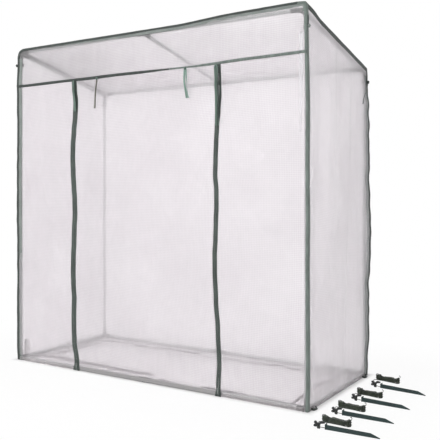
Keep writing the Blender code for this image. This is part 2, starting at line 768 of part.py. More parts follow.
def hank_points():
    """Gives the hank's points in its own frame: it winds in, climbs along a run, winds out, and so on."""
    points = [Vector((-HANK_RUN / 2 - HANK_LEAD, -HANK_START_RADIUS, 0))]
    points.append(points[0] + Vector((CORD_DIAMETER, 0, 0)))
    first_quarter = 3
    radius = HANK_START_RADIUS
    level = 0
    walked = 0
    for quarters, gain, climb in hank_stages():
        for step in range(round(quarters * HANK_POINTS_PER_QUARTER)):
            turned = step / HANK_POINTS_PER_QUARTER
            quarter = (first_quarter + walked // HANK_POINTS_PER_QUARTER) % 4
            share = walked % HANK_POINTS_PER_QUARTER / HANK_POINTS_PER_QUARTER
            eased = turned * turned * (3 - 2 * turned) if climb else 0
            x, y = hank_quarter(quarter, share, radius + gain * turned)
            points.append(Vector((x, y, (level + eased) * HANK_LAYER_STEP)))
            walked += 1
        radius += gain * quarters
        level += climb
    last = Vector((HANK_RUN / 2 + radius, 0, level * HANK_LAYER_STEP))
    points.append(last)
    points.append(last + Vector((0, HANK_LEAD, 0)))
    return points


def least_self_gap(points, diameter):
    """Measures the least gap between stretches of a tube that don't follow each other."""
    fine = np.array(smooth_line(points, diameter / 3, 1))
    travelled = np.concatenate([[0], np.cumsum(np.linalg.norm(np.diff(fine, axis=0), axis=1))])
    apart = np.linalg.norm(fine[:, None] - fine[None], axis=2)
    apart[np.abs(travelled[:, None] - travelled[None]) < 4 * diameter] = np.inf
    return apart.min() - diameter


def smooth_line(points, spacing, smoothing):
    """Samples an even line through points, on a smooth curve where smoothing is over one."""
    points = [Vector(point) for point in points]
    ends = [2 * points[0] - points[1], *points, 2 * points[-1] - points[-2]]
    fine = []
    for before, first, second, after in zip(ends, ends[1:], ends[2:], ends[3:]):
        for step in range(smoothing):
            t = step / smoothing
            straight = first.lerp(second, t)
            bend = (second - before) / 2 * (t - 2 * t * t + t**3) + (after - first) / 2 * (t**3 - t * t)
            ease = (first - second) * (t - 3 * t * t + 2 * t**3)
            fine.append(straight + (bend + ease if smoothing > 1 else Vector()))
    fine.append(points[-1])
    lengths = np.cumsum([0] + [(b - a).length for a, b in zip(fine, fine[1:])])
    count = max(2, round(lengths[-1] / spacing)) + 1
    wanted = np.linspace(0, lengths[-1], count)
    columns = [np.interp(wanted, lengths, [point[axis] for point in fine]) for axis in range(3)]
    return [Vector(point) for point in zip(*columns)]


def bend(start, start_pull, end_pull, end):
    """Gives points on a bend between two places, drawn towards a third and a fourth."""
    points = []
    for step in range(1, TAIL_BEND_POINTS):
        t = step / TAIL_BEND_POINTS
        weights = ((1 - t) ** 3, 3 * t * (1 - t) ** 2, 3 * t * t * (1 - t), t**3)
        places = (start, start_pull, end_pull, end)
        points.append(sum((place * weight for place, weight in zip(places, weights)), Vector()))
    return points


def tail_points(first, back):
    """Gives the free stretch: off the hank, through the tensioner and square to the peg's head."""
    frame = tensioner_frame()
    reach = TENSIONER_THICKNESS / 2 + CORD_DIAMETER
    behind, through, before = (
        frame @ Vector((TENSIONER_HOLE_X, y, TENSIONER_HOLE_HEIGHT)) for y in (reach, 0, -reach)
    )
    away = frame.to_3x3() @ Vector((0, 1, 0))
    start = first + back * CORD_JOINT_GAP
    off = start + back * CORD_DIAMETER
    head = Vector((-CORD_JOINT_GAP, *TAIL_HEAD))
    near_head = head - Vector((CORD_DIAMETER, 0, 0))
    low = Vector((0, 0, CORD_REST_Z - TENSIONER_HOLE_HEIGHT))
    front_pull, head_pull = TAIL_LANDING_REACH
    route = [start, off]
    route += bend(off, off + back * TAIL_REACH, behind + away * TAIL_REACH + low, behind)
    route += [behind, through, before]
    route += bend(before, before - away * front_pull, near_head - Vector((head_pull, 0, 0)), near_head)
    route += [near_head, head]
    line = smooth_line(route, TAIL_SAMPLE, TAIL_SMOOTHING)
    return [route[0], route[1], *line[1:-1], route[-2], route[-1]]


def cord_curve(name, points, bevel_resolution):
    """Makes a round cord along points, closed at both ends."""
    curve = bpy.data.curves.new(name, "CURVE")
    curve.dimensions = "3D"
    curve.bevel_depth = CORD_RADIUS
    curve.bevel_resolution = bevel_resolution
    curve.use_fill_caps = True
    spline = curve.splines.new("POLY")
    spline.points.add(len(points) - 1)
    for point, place in zip(spline.points, points):
        point.co = (*place, 1.0)
    return curve


def build_peg_sets():
    """Makes the pegs in their row, each with its tensioner, hank and free rope."""
    coil = hank_points()
    gap = least_self_gap(coil, CORD_DIAMETER)
    print(f"guy rope hank: least gap to itself {gap * 1000:.2f} mm, {LEAST_SELF_GAP * 1000:.1f} mm wanted")
    peg = peg_mesh()
    tensioner = tensioner_mesh()
    for number, (x, y, turn, hank_x, hank_y) in enumerate(PEG_SETS, 1):
        placing = hank_frame(hank_x, hank_y)
        points = [placing @ point for point in coil]
        back = placing.to_3x3() @ Vector((-1, 0, 0))
        place = bpy.data.objects.new(f"peg_set_{number}", None)
        place.location = (x, y, 0)
        place.rotation_euler = (0, 0, math.radians(turn))
        bpy.context.scene.collection.objects.link(place)
        add_object(f"peg_{number}", peg, "peg_plastic", place)
        add_object(f"tensioner_{number}", tensioner, "tensioner_plastic", place)
        hank = cord_curve("guy_rope_hank", points, 1)
        add_object(f"guy_rope_hank_{number}", hank, "guy_rope", place)
        tail = cord_curve("guy_rope_tail", tail_points(points[0], back), 2)
        add_object(f"guy_rope_tail_{number}", tail, "guy_rope", place)


def main():
    """Builds the whole greenhouse."""
    clear_scene()
    for name in FINISHES:
        make_finish(name)
    build_sill_corners()
    build_sill_couplers()
    build_eave_elbows()
    build_eave_tees()
    build_posts()
    build_sill_tubes()
    build_eave_tubes()
    build_rafters()
    build_roof_film()
    build_side_films()
    build_end_films()
    build_front_panels()
    build_zips()
    build_door()
    build_sliders()
    build_peg_sets()


main()
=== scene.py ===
"""Looks of a lean-to tomato greenhouse: a tube frame under a clear, mesh-reinforced film cover.

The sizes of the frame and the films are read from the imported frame, and those of the trim are set
here. New pieces are the wrinkled films of the cover, its woven bindings, zip tapes and ties, the film
that lies on the ground inside, and the guy ropes.
"""

import logging
import math
from collections.abc import Callable, Sequence
from dataclasses import dataclass, field
from enum import Enum

import bmesh
import bpy
import numpy as np
from mathutils import Matrix, Vector, noise


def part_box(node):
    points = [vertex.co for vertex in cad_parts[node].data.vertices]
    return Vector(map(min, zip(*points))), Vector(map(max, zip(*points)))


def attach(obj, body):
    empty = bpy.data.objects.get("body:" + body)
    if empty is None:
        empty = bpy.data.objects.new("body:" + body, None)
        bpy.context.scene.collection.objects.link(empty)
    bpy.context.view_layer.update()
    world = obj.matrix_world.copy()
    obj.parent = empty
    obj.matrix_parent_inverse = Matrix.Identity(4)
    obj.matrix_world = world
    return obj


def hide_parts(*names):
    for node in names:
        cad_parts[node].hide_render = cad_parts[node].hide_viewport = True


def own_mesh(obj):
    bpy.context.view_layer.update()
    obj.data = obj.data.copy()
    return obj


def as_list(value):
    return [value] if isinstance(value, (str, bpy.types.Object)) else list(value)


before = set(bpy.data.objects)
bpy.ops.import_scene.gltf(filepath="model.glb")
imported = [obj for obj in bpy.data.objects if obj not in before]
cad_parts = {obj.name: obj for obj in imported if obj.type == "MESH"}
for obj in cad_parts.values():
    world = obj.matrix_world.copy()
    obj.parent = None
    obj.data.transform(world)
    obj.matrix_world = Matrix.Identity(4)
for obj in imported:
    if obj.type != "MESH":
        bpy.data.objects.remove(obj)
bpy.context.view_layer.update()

log = logging.getLogger("greenhouse")

Pair = tuple[float, float]
Triple = tuple[float, float, float]
Colour = Triple
Socket = bpy.types.NodeSocket
Source = Socket | float | Colour
Place = Callable[[float, float], Vector]

FILM_THICKNESS = 0.0005
LOOSE_FILM_THICKNESS = 0.0003
RIBBON_THICKNESS = 0.0007
TAPE_LIFT = 0.0011
LINING_LIFT = 0.0001
CURVE_STEPS = 12


class Named(Enum):
    """A choice among named faces of the greenhouse."""

    @property
    def word(self) -> str:
        """The name as the nodes spell it."""
        return self.name.lower()


class Side(Named):
    """Left or right of the greenhouse, seen from the front, with its sign along X."""

    LEFT = -1
    RIGHT = 1


class End(Named):
    """Front or rear face of the greenhouse, with the sign of its outward direction along Y."""

    FRONT = -1
    REAR = 1


def ease(share: float) -> float:
    """Eases a share from 0 to 1, level at both ends."""
    share = min(1.0, max(0.0, share))
    return share * share * (3 - 2 * share)


def mix(first: float, second: float, share: float) -> float:
    """Gives the value at a share of the way between two."""
    return first + (second - first) * share


def wave(*place: float) -> float:
    """Gives smooth noise between about -1 and 1 at a place."""
    padded = (*place, 0.37, 0.61)
    return noise.noise(Vector(padded[:3])) * 1.6


def toned(colour: Colour, factor: float, added: float = 0.0) -> Colour:
    """Gives a colour times a factor, with the same amount added to each of its parts."""
    return tuple(part * factor + added for part in colour)


# Finishes


class Graph:
    """Node tree of a material or world, with a short call for each node that the finishes use."""

    def __init__(self, owner: bpy.types.ID) -> None:
        """Starts the nodes of a material or world.

        Args:
            owner: The material or world.
        """
        owner.use_nodes = True
        self.tree = owner.node_tree
        self.shader = self.tree.nodes.get("Principled BSDF")

    def add(self, kind: str, **settings: str) -> bpy.types.Node:
        """Adds a node and sets its properties.

        Args:
            kind: Type of the node.
            settings: Properties of the node and their values.

        Returns:
            The node.
        """
        node = self.tree.nodes.new(kind)
        for key, value in settings.items():
            setattr(node, key, value)
        return node

    def feed(self, target: Socket, source: Source) -> None:
        """Links a socket to another one, or sets its value.

        Args:
            target: Socket that is fed.
            source: Output socket, number or colour.
        """
        if isinstance(source, Socket):
            self.tree.links.new(source, target)
        elif isinstance(source, tuple):
            target.default_value = (*source, 1.0)
        else:
            target.default_value = source

    def set(self, socket: str, source: Source) -> None:
        """Feeds one socket of the Principled shader."""
        self.feed(self.shader.inputs[socket], source)

    def coordinates(self, kind: str = "Object") -> Socket:
        """Gives object coordinates, or the UV map of the flat cut."""
        return self.add("ShaderNodeTexCoord").outputs[kind]

    def maths(self, operation: str, first: Source, second: Source = 0.0, third: Source = 0.0) -> Socket:
        """Works out one sum on sockets or numbers.

        Args:
            operation: Operation of the Math node.
            first: First socket or number.
            second: Second socket or number.
            third: Third socket or number.

        Returns:
            The result's socket.
        """
        node = self.add("ShaderNodeMath", operation=operation)
        for socket, value in zip(node.inputs, (first, second, third)):
            self.feed(socket, value)
        return node.outputs[0]

    def noise(self, place: Socket, scale: float, detail: float = 3.0, rough: float = 0.55) -> Socket:
        """Gives noise between 0 and 1.

        Args:
            place: Socket of coordinates.
            scale: Features in a metre.
            detail: Octaves.
            rough: Share of each finer octave.

        Returns:
            The noise's socket.
        """
        node = self.add("ShaderNodeTexNoise")
        for socket, value in (("Vector", place), ("Scale", scale), ("Detail", detail), ("Roughness", rough)):
            self.feed(node.inputs[socket], value)
        return node.outputs["Fac"]

    def stretch(self, place: Socket, scale: Triple) -> Socket:
        """Stretches coordinates along their axes.

        Args:
            place: Socket of coordinates.
            scale: Factor along each axis.

        Returns:
            The stretched coordinates.
        """
        node = self.add("ShaderNodeMapping")
        self.feed(node.inputs["Vector"], place)
        node.inputs["Scale"].default_value = scale
        return node.outputs["Vector"]

    def split(self, place: Socket) -> tuple[Socket, ...]:
        """Gives the three parts of coordinates.

        Args:
            place: Socket of coordinates.

        Returns:
            Sockets of X, Y and Z.
        """
        node = self.add("ShaderNodeSeparateXYZ")
        self.feed(node.inputs[0], place)
        return tuple(node.outputs)

    def fit(
        self, value: Socket, low: float, high: float, to_low: float = 0.0, to_high: float = 1.0
    ) -> Socket:
        """Fits a value from one range into another, eased at both ends.

        Args:
            value: Socket of the value.
            low: Start of its range.
            high: End of its range.
            to_low: Result at the start.
            to_high: Result at the end.

        Returns:
            The fitted value's socket.
        """
        node = self.add("ShaderNodeMapRange", interpolation_type="SMOOTHSTEP")
        for socket, number in zip(node.inputs, (value, low, high, to_low, to_high)):
            self.feed(socket, number)
        return node.outputs[0]

    def blend(self, share: Source, first: Source, second: Source) -> Socket:
        """Mixes two colours.

        Args:
            share: Socket or number, 0 for the first colour.
            first: First colour or socket.
            second: Second colour or socket.

        Returns:
            The mixed colour's socket.
        """
        node = self.add("ShaderNodeMix", data_type="RGBA")
        self.feed(node.inputs["Factor"], share)
        self.feed(node.inputs[6], first)
        self.feed(node.inputs[7], second)
        return node.outputs[2]

    def bump(
        self, height: Socket, depth: float, strength: float = 1.0, below: Socket | None = None
    ) -> Socket:
        """Turns a height into a surface normal.

        Args:
            height: Socket of the height, 0 to 1.
            depth: Depth of the full height in metres.
            strength: Share of the effect.
            below: Normal that this one lies on.

        Returns:
            The normal's socket.
        """
        node = self.add("ShaderNodeBump")
        self.feed(node.inputs["Height"], height)
        node.inputs["Distance"].default_value = depth
        node.inputs["Strength"].default_value = strength
        if below is not None:
            self.feed(node.inputs["Normal"], below)
        return node.outputs["Normal"]

    def sine(self, value: Socket, pitch: float) -> Socket:
        """Gives a sine wave that repeats at a pitch along a value."""
        return self.maths("SINE", self.maths("MULTIPLY", value, 2 * math.pi / pitch))

    def stripes(self, value: Socket, pitch: float, width: float) -> Socket:
        """Gives 1 on lines that repeat along a value and 0 between them.

        Args:
            value: Socket of the distance in metres.
            pitch: Distance from line to line.
            width: Width of a line.

        Returns:
            The lines' socket.
        """
        turn = self.maths("FRACT", self.maths("DIVIDE", value, pitch))
        off = self.maths("ABSOLUTE", self.maths("SUBTRACT", turn, 0.5))
        half = width / pitch / 2
        return self.fit(off, half * 0.6, half * 1.4, 1.0, 0.0)


@dataclass(frozen=True)
class Finish:
    """A finish of one material, made at its first use."""

    name: str
    colour: Colour
    second: Colour
    roughness: float = 0.5

    def material(self) -> bpy.types.Material:
        """Gives the finish's material."""
        return bpy.data.materials.get(self.name) or self.make()

    def make(self) -> bpy.types.Material:
        """Makes the material from its own nodes."""
        material = bpy.data.materials.new(self.name)
        self.paint(Graph(material))
        return material

    def paint(self, graph: Graph) -> None:
        """Sets the shader's sockets."""
        graph.set("Base Color", self.colour)
        graph.set("Roughness", self.roughness)


@dataclass(frozen=True)
class CoatedSteel(Finish):
    """Powder-coated steel tube: mottled, with an orange-peel skin and rubbed spots."""

    metallic: float = 0.15

    def paint(self, graph: Graph) -> None:
        """Sets mottled colour, uneven gloss and the coat's fine skin.

        Args:
            graph: Nodes of the material.
        """
        place = graph.coordinates()
        cloud = graph.fit(graph.noise(place, 14.0), 0.35, 0.65)
        coat = graph.blend(cloud, self.colour, self.second)
        rubbed = graph.fit(graph.noise(place, 190.0, 4.0), 0.66, 0.76, 0.0, 0.55)
        graph.set("Base Color", graph.blend(rubbed, coat, toned(self.second, 1.9, 0.02)))
        gloss = graph.noise(place, 60.0)
        graph.set("Roughness", graph.fit(gloss, 0.3, 0.7, self.roughness - 0.1, self.roughness + 0.12))
        graph.set("Metallic", self.metallic)
        graph.set("Normal", graph.bump(graph.noise(place, 900.0, 2.0), 0.0002, 0.5))


@dataclass(frozen=True)
class MouldedPlastic(Finish):
    """Injection-moulded plastic: faint flow marks, a fine grain and scuffs."""

    grain: float = 1400.0

    def paint(self, graph: Graph) -> None:
        """Sets flow marks, scuffs and a fine grain.

        Args:
            graph: Nodes of the material.
        """
        place = graph.coordinates()
        flow = graph.fit(graph.noise(graph.stretch(place, (18.0, 40.0, 40.0)), 1.0), 0.3, 0.7)
        base = graph.blend(flow, self.colour, self.second)
        scratches = graph.noise(graph.stretch(place, (90.0, 420.0, 420.0)), 1.0, 5.0)
        scuff = graph.fit(scratches, 0.62, 0.78, 0.0, 0.5)
        graph.set("Base Color", graph.blend(scuff, base, toned(self.second, 2.0, 0.008)))
        graph.set("Roughness", graph.fit(scuff, 0.0, 0.5, self.roughness, self.roughness + 0.25))
        graph.set("Normal", graph.bump(graph.noise(place, self.grain, 2.0), 0.00015, 0.6))


@dataclass(frozen=True)
class WornMetal(Finish):
    """Cast metal of the zip sliders, brushed by use."""

    def paint(self, graph: Graph) -> None:
        """Sets brushed streaks and dulled patches.

        Args:
            graph: Nodes of the material.
        """
        place = graph.coordinates()
        streak = graph.noise(graph.stretch(place, (3200.0, 3200.0, 260.0)), 1.0, 3.0)
        dull = graph.fit(graph.noise(place, 380.0), 0.4, 0.7)
        graph.set("Base Color", graph.blend(dull, self.colour, self.second))
        graph.set("Metallic", 0.9)
        graph.set("Roughness", graph.fit(streak, 0.3, 0.7, self.roughness - 0.12, self.roughness + 0.15))
        graph.set("Normal", graph.bump(streak, 0.0001, 0.5))


@dataclass(frozen=True)
class ClearFilm(Finish):
    """Clear film with a mesh of threads welded into it, milky where it is seen at a slant.

    Cover is how much the plain film hides, and thread how much a thread does. Painted shade is how much the
    film's colour is darkened, standing in for less light, at its first edge and after a run of so many
    metres, and hem is the width of a dark welt along that edge.
    """

    cover: float = 0.345
    thread: float = 0.45
    passing: float = 0.72
    bend: float = 1.12
    pitch: float = 0.0088
    thread_width: float = 0.0011
    least_slant: float = 0.55
    steep: float = 1.0
    hem: float = 0.0
    painted_shade: Pair = (0.0, 0.0)
    painted_shade_run: float = 1.0

    def paint(self, graph: Graph) -> None:
        """Sets the see-through film, its threads and its faint haze.

        Args:
            graph: Nodes of the material.
        """
        cut = graph.coordinates("UV")
        across, along, _ = graph.split(cut)
        warp = graph.stripes(across, self.pitch, self.thread_width)
        weft = graph.stripes(along, self.pitch, self.thread_width)
        threads = graph.maths("MAXIMUM", warp, weft)
        haze = graph.noise(cut, 2.6, 4.0)
        creases = graph.noise(graph.stretch(cut, (42.0, 9.0, 1.0)), 1.0, 4.0, 0.6)
        cloud = graph.fit(haze, 0.32, 0.68, self.cover * 0.9, self.cover * 1.1)
        cover = graph.maths("MULTIPLY_ADD", threads, self.thread - self.cover, cloud)
        if self.hem:
            welt = graph.fit(across, self.hem * 0.7, self.hem, 1.0, 0.0)
            cover = graph.maths("MAXIMUM", cover, graph.maths("MULTIPLY", welt, 0.85))
        facing = graph.add("ShaderNodeLayerWeight").outputs["Facing"]
        slant = graph.maths("MAXIMUM", graph.maths("SUBTRACT", 1.0, facing), self.least_slant)
        layers = graph.maths("POWER", slant, -self.steep)
        through = graph.maths("POWER", graph.maths("SUBTRACT", 1.0, cover), layers)
        graph.set("Alpha", graph.maths("SUBTRACT", 1.0, through))
        tint = graph.blend(graph.fit(haze, 0.3, 0.7), self.colour, self.second)
        # Painted shade: the colour is darkened towards the film's first edge, or after its run.
        if any(self.painted_shade):
            tint = graph.blend(graph.fit(across, 0.0, self.painted_shade_run, *self.painted_shade), tint, (0.0, 0.0, 0.0))
        if self.hem:
            tint = graph.blend(welt, tint, toned(self.second, 0.25))
        graph.set("Base Color", tint)
        graph.set("Roughness", graph.fit(haze, 0.3, 0.7, self.roughness - 0.05, self.roughness + 0.05))
        graph.set("Transmission Weight", self.passing)
        graph.set("IOR", self.bend)
        graph.set("Coat Weight", 0.3)
        graph.set("Coat Roughness", 0.2)
        soft = graph.bump(creases, 0.004, 0.5)
        graph.set("Normal", graph.bump(threads, 0.0003, 0.6, soft))


@dataclass(frozen=True)
class WovenTape(Finish):
    """Woven tape with a fine rib, faded patches and a stitched line along each edge."""

    width: float = 0.024
    rib: float = 0.0011
    stitch: float = 0.0042

    def paint(self, graph: Graph) -> None:
        """Sets the ribs of the weave, the fading and the stitches.

        Args:
            graph: Nodes of the material.
        """
        cut = graph.coordinates("UV")
        across, along, _ = graph.split(cut)
        fade = graph.noise(graph.stretch(cut, (30.0, 9.0, 1.0)), 1.0, 4.0, 0.6)
        cloth = graph.blend(graph.fit(fade, 0.35, 0.65), self.colour, self.second)
        rib = graph.sine(along, self.rib)
        pick = graph.sine(across, self.rib * 1.3)
        weave = graph.fit(graph.maths("MULTIPLY", rib, pick), -1.0, 1.0)
        shaded = graph.blend(graph.fit(weave, 0.0, 1.0, 0.0, 0.35), cloth, toned(self.colour, 0.45))
        edge = graph.maths("ABSOLUTE", graph.maths("SUBTRACT", across, self.width / 2))
        off_row = graph.maths("ABSOLUTE", graph.maths("SUBTRACT", edge, self.width * 0.40))
        row = graph.fit(off_row, 0.0003, 0.0007, 1.0, 0.0)
        dash = graph.stripes(along, self.stitch, self.stitch * 0.6)
        seam = graph.maths("MULTIPLY", row, dash)
        graph.set("Base Color", graph.blend(seam, shaded, toned(self.second, 1.5, 0.03)))
        graph.set("Roughness", graph.fit(fade, 0.3, 0.7, self.roughness, self.roughness + 0.12))
        woven = graph.bump(weave, 0.0003, 0.8)
        graph.set("Normal", graph.bump(seam, 0.0005, 0.8, woven))
        graph.set("Sheen Weight", 0.12)


@dataclass(frozen=True)
class BraidedRope(Finish):
    """Braided cord: strands that cross on a diagonal round it."""

    strands: float = 6.0
    lay: float = 0.0062

    def paint(self, graph: Graph) -> None:
        """Sets the crossing strands, with painted shade in the grooves between them, and the cord's soiled
        patches.

        Args:
            graph: Nodes of the material.
        """
        along, around, _ = graph.split(graph.coordinates("UV"))
        run = graph.maths("DIVIDE", along, self.lay)
        turn = graph.maths("MULTIPLY", around, self.strands)
        leading = graph.sine(graph.maths("ADD", run, turn), 1.0)
        trailing = graph.sine(graph.maths("SUBTRACT", run, turn), 1.0)
        braid = graph.fit(graph.maths("MAXIMUM", leading, trailing), -0.4, 1.0)
        soil = graph.fit(graph.noise(graph.coordinates(), 55.0, 4.0), 0.35, 0.65)
        yarn = graph.blend(soil, self.colour, self.second)
        # The grooves between the strands are darkened to about a third of the colour: painted shade.
        graph.set("Base Color", graph.blend(braid, toned(self.colour, 0.35), yarn))
        graph.set("Roughness", graph.fit(braid, 0.0, 1.0, 0.95, self.roughness))
        graph.set("Normal", graph.bump(braid, 0.0005, 0.9))
        graph.set("Sheen Weight", 0.2)


TUBE_COAT = CoatedSteel("coated tube", (0.400, 0.430, 0.415), (0.460, 0.495, 0.478), 0.42)
CONNECTOR = MouldedPlastic("connector plastic", (0.052, 0.066, 0.060), (0.080, 0.100, 0.090), 0.5)
PEG_PLASTIC = MouldedPlastic("peg plastic", (0.0048, 0.0195, 0.0190), (0.0075, 0.0285, 0.0275), 0.5)
TENSIONER = MouldedPlastic("tensioner plastic", (0.006, 0.007, 0.008), (0.016, 0.018, 0.019), 0.4)
SLIDER = WornMetal("slider metal", (0.30, 0.33, 0.31), (0.16, 0.18, 0.17), 0.38)
FILM = ClearFilm("reinforced film", (0.86, 0.815, 0.85), (0.80, 0.757, 0.79), 0.5)
# Roof film with painted shade, darker towards its left edge.
ROOF_FILM_PAINTED_SHADE = ClearFilm(
    "roof film", (0.87, 0.825, 0.86), (0.81, 0.77, 0.80), 0.5,
    cover=0.150, steep=1.2, least_slant=0.25, painted_shade=(0.27, 0.0), painted_shade_run=0.9,
)
# A darker copy of the film for the header, darker still towards the left: painted shade.
HEADER_FILM_PAINTED_SHADE = ClearFilm(
    "header film", (0.815, 0.777, 0.805), (0.757, 0.722, 0.747), 0.5,
    painted_shade=(0.16, 0.0), painted_shade_run=0.9,
)
# A lighter copy of the film for the right wall, darkened towards the rear: painted light and shade.
SIDE_FILM_PAINTED_LIGHT_AND_SHADE = ClearFilm(
    "side film", (0.93, 0.885, 0.92), (0.87, 0.828, 0.86), 0.5,
    painted_shade=(0.0, 0.08), painted_shade_run=0.6,
)
GROUND_FILM = ClearFilm(
    "ground film", (0.88, 0.845, 0.86), (0.82, 0.79, 0.80), 0.55,
    cover=0.045, thread=0.09, hem=0.012,
)
DOUBLED_FILM = ClearFilm("doubled film", (0.80, 0.765, 0.775), (0.72, 0.69, 0.70), 0.55, cover=0.34)
SIDE_FOOT = ClearFilm("doubled side film", (0.86, 0.825, 0.835), (0.79, 0.76, 0.77), 0.55, cover=0.16)
# A dark see-through strip that darkens the right wall at its rear edge: painted shade.
EDGE_SHADE_FILM = ClearFilm("painted edge shade film", (0.34, 0.37, 0.36), (0.42, 0.45, 0.44), 0.55, cover=0.36, thread=0.44)
TAB_FILM = ClearFilm(
    "tab film", (0.62, 0.61, 0.61), (0.54, 0.53, 0.53), 0.55,
    cover=0.17, thread=0.30, hem=0.007,
)
# A near-white film for the strip beside the front right corner: a painted highlight.
HIGHLIGHT_FILM = ClearFilm("painted highlight film", (0.95, 0.95, 0.96), (0.90, 0.90, 0.92), 0.4, cover=0.62, thread=0.7)
PALE_HEM = WovenTape("welded hem", (0.300, 0.292, 0.294), (0.390, 0.380, 0.383), 0.55, width=0.020)
DARK_TAPE = WovenTape("dark tape", (0.028, 0.036, 0.032), (0.055, 0.070, 0.064), 0.7)
# A lighter copy of the binding tape for its inner edge and one bobble: painted light.
PAINTED_LIGHT_LINING_TAPE = WovenTape("lining tape", (0.190, 0.215, 0.202), (0.260, 0.290, 0.274), 0.65)
# A lighter copy of the dark tape for the right-hand binding and trim: painted light.
PAINTED_LIGHT_TAPE = WovenTape("tape with painted light", (0.122, 0.152, 0.137), (0.200, 0.245, 0.222), 0.65)
ZIP_TAPE = WovenTape("zip tape", (0.042, 0.056, 0.049), (0.080, 0.105, 0.092), 0.7, width=0.017)
COIL = WovenTape("zip coil", (0.060, 0.076, 0.068), (0.110, 0.136, 0.120), 0.5, width=0.004)
MINT_RIBBON = WovenTape("mint ribbon", (0.130, 0.225, 0.178), (0.235, 0.365, 0.305), 0.5, width=0.012)
DARK_RIBBON = WovenTape("dark ribbon", (0.075, 0.125, 0.098), (0.130, 0.195, 0.160), 0.55, width=0.012)
PALE_RIBBON = WovenTape("pale ribbon", (0.170, 0.175, 0.150), (0.290, 0.290, 0.250), 0.6, width=0.010)
GREY_RIBBON = WovenTape("grey ribbon", (0.115, 0.130, 0.120), (0.200, 0.215, 0.205), 0.6, width=0.010)
ROPE = BraidedRope("guy rope", (0.022, 0.032, 0.020), (0.045, 0.060, 0.038), 0.8)


# Modelling helpers


def collection() -> bpy.types.Collection:
    """Gives the collection that all pieces are linked to."""
    return bpy.context.scene.collection


def add_piece(name: str, data: bpy.types.ID, finish: Finish) -> bpy.types.Object:
    """Links a piece, dresses it, lets it ride on the house and reports it.

    Args:
        name: Name of the piece.
        data: Its mesh or curve.
        finish: Its finish.

    Returns:
        The piece's object.
    """
    piece = bpy.data.objects.new(name, data)
    collection().objects.link(piece)
    data.materials.append(finish.material())
    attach(piece, "house")
    log.info("%s: made in %s", name, finish.name)
    return piece


def cut_grid(name: str, flat: Pair, step: Pair, place: Place) -> bpy.types.Mesh:
    """Maps a flat grid onto a surface and keeps its flat size, in metres, as its UV map.

    Args:
        name: Name of the mesh.
        flat: Width and length of the flat cut.
        step: Size of a cell along the width and the length.
        place: Gives the point of the surface at a distance along the width and the length.

    Returns:
        The mesh, shaded smooth.
    """
    cells = [max(1, round(size / cell)) for size, cell in zip(flat, step)]
    bm = bmesh.new()
    bmesh.ops.create_grid(bm, x_segments=cells[0], y_segments=cells[1], size=0.5)
    cut = bm.loops.layers.uv.new("cut")
    for face in bm.faces:
        face.smooth = True
        for loop in face.loops:
            corner = loop.vert.co
            loop[cut].uv = ((corner.x + 0.5) * flat[0], (corner.y + 0.5) * flat[1])
    for vert in bm.verts:
        vert.co = place((vert.co.x + 0.5) * flat[0], (vert.co.y + 0.5) * flat[1])
    mesh = bpy.data.meshes.new(name)
    bm.to_mesh(mesh)
    bm.free()
    return mesh


def thicken(piece: bpy.types.Object, thickness: float, offset: float = -1.0) -> None:
    """Gives a sheet its thickness, with closed edges.

    Args:
        piece: Object of the sheet.
        thickness: Thickness in metres.
        offset: -1 to grow behind the sheet, 1 to grow in front.
    """
    wall = piece.modifiers.new("thickness", "SOLIDIFY")
    wall.thickness = thickness
    wall.offset = offset


def weld(mesh: bpy.types.Mesh, ends: bool = True) -> None:
    """Joins the meeting edges of a rolled-up grid and turns its faces outwards.

    Args:
        mesh: The rolled-up grid.
        ends: Whether its open ends are closed.
    """
    bm = bmesh.new()
    bm.from_mesh(mesh)
    bmesh.ops.remove_doubles(bm, verts=bm.verts, dist=0.00002)
    if ends:
        open_edges = [edge for edge in bm.edges if edge.is_boundary]
        bmesh.ops.holes_fill(bm, edges=open_edges, sides=0)
    bmesh.ops.recalc_face_normals(bm, faces=bm.faces)
    bm.to_mesh(mesh)
    bm.free()


def smooth_line(points: Sequence[Vector], spacing: float) -> list[Vector]:
    """Samples a smooth curve through points at an even spacing.

    Args:
        points: Points that the curve runs through.
        spacing: Distance between samples.

    Returns:
        The samples, both ends among them.
    """
    ends = [2 * points[0] - points[1], *points, 2 * points[-1] - points[-2]]
    fine = []
    for before, first, second, after in zip(ends, ends[1:], ends[2:], ends[3:]):
        for step in range(CURVE_STEPS):
            t = step / CURVE_STEPS
            bend = (second - before) / 2 * (t - 2 * t * t + t**3) + (after - first) / 2 * (t**3 - t * t)
            fine.append(first.lerp(second, t) + bend + (first - second) * (t - 3 * t * t + 2 * t**3))
    fine.append(points[-1])
    lengths = np.cumsum([0] + [(b - a).length for a, b in zip(fine, fine[1:])])
    wanted = np.linspace(0, lengths[-1], max(2, round(lengths[-1] / spacing)) + 1)
    columns = [np.interp(wanted, lengths, [point[axis] for point in fine]) for axis in range(3)]
    return [Vector(point) for point in zip(*columns)]


def line_length(points: Sequence[Vector]) -> float:
    """Gives the length of a line through points."""
    return sum((b - a).length for a, b in zip(points, points[1:]))


def rope_curve(
    name: str, points: Sequence[Vector], diameter: float, resolution: int
) -> bpy.types.Curve:
    """Makes a round rope along points, closed at both ends.

    Args:
        name: Name of the curve.
        points: Points of the centreline.
        diameter: Diameter of the rope.
        resolution: Bevel resolution, which sets the number of sides.

    Returns:
        The curve.
    """
    curve = bpy.data.curves.new(name, "CURVE")
    curve.dimensions = "3D"
    curve.bevel_depth = diameter / 2
    curve.bevel_resolution = resolution
    curve.use_fill_caps = True
    spline = curve.splines.new("POLY")
    spline.points.add(len(points) - 1)
    for point, place in zip(spline.points, points):
        point.co = (*place, 1.0)
    spline.use_smooth = True
    return curve


# Camera, floor and light


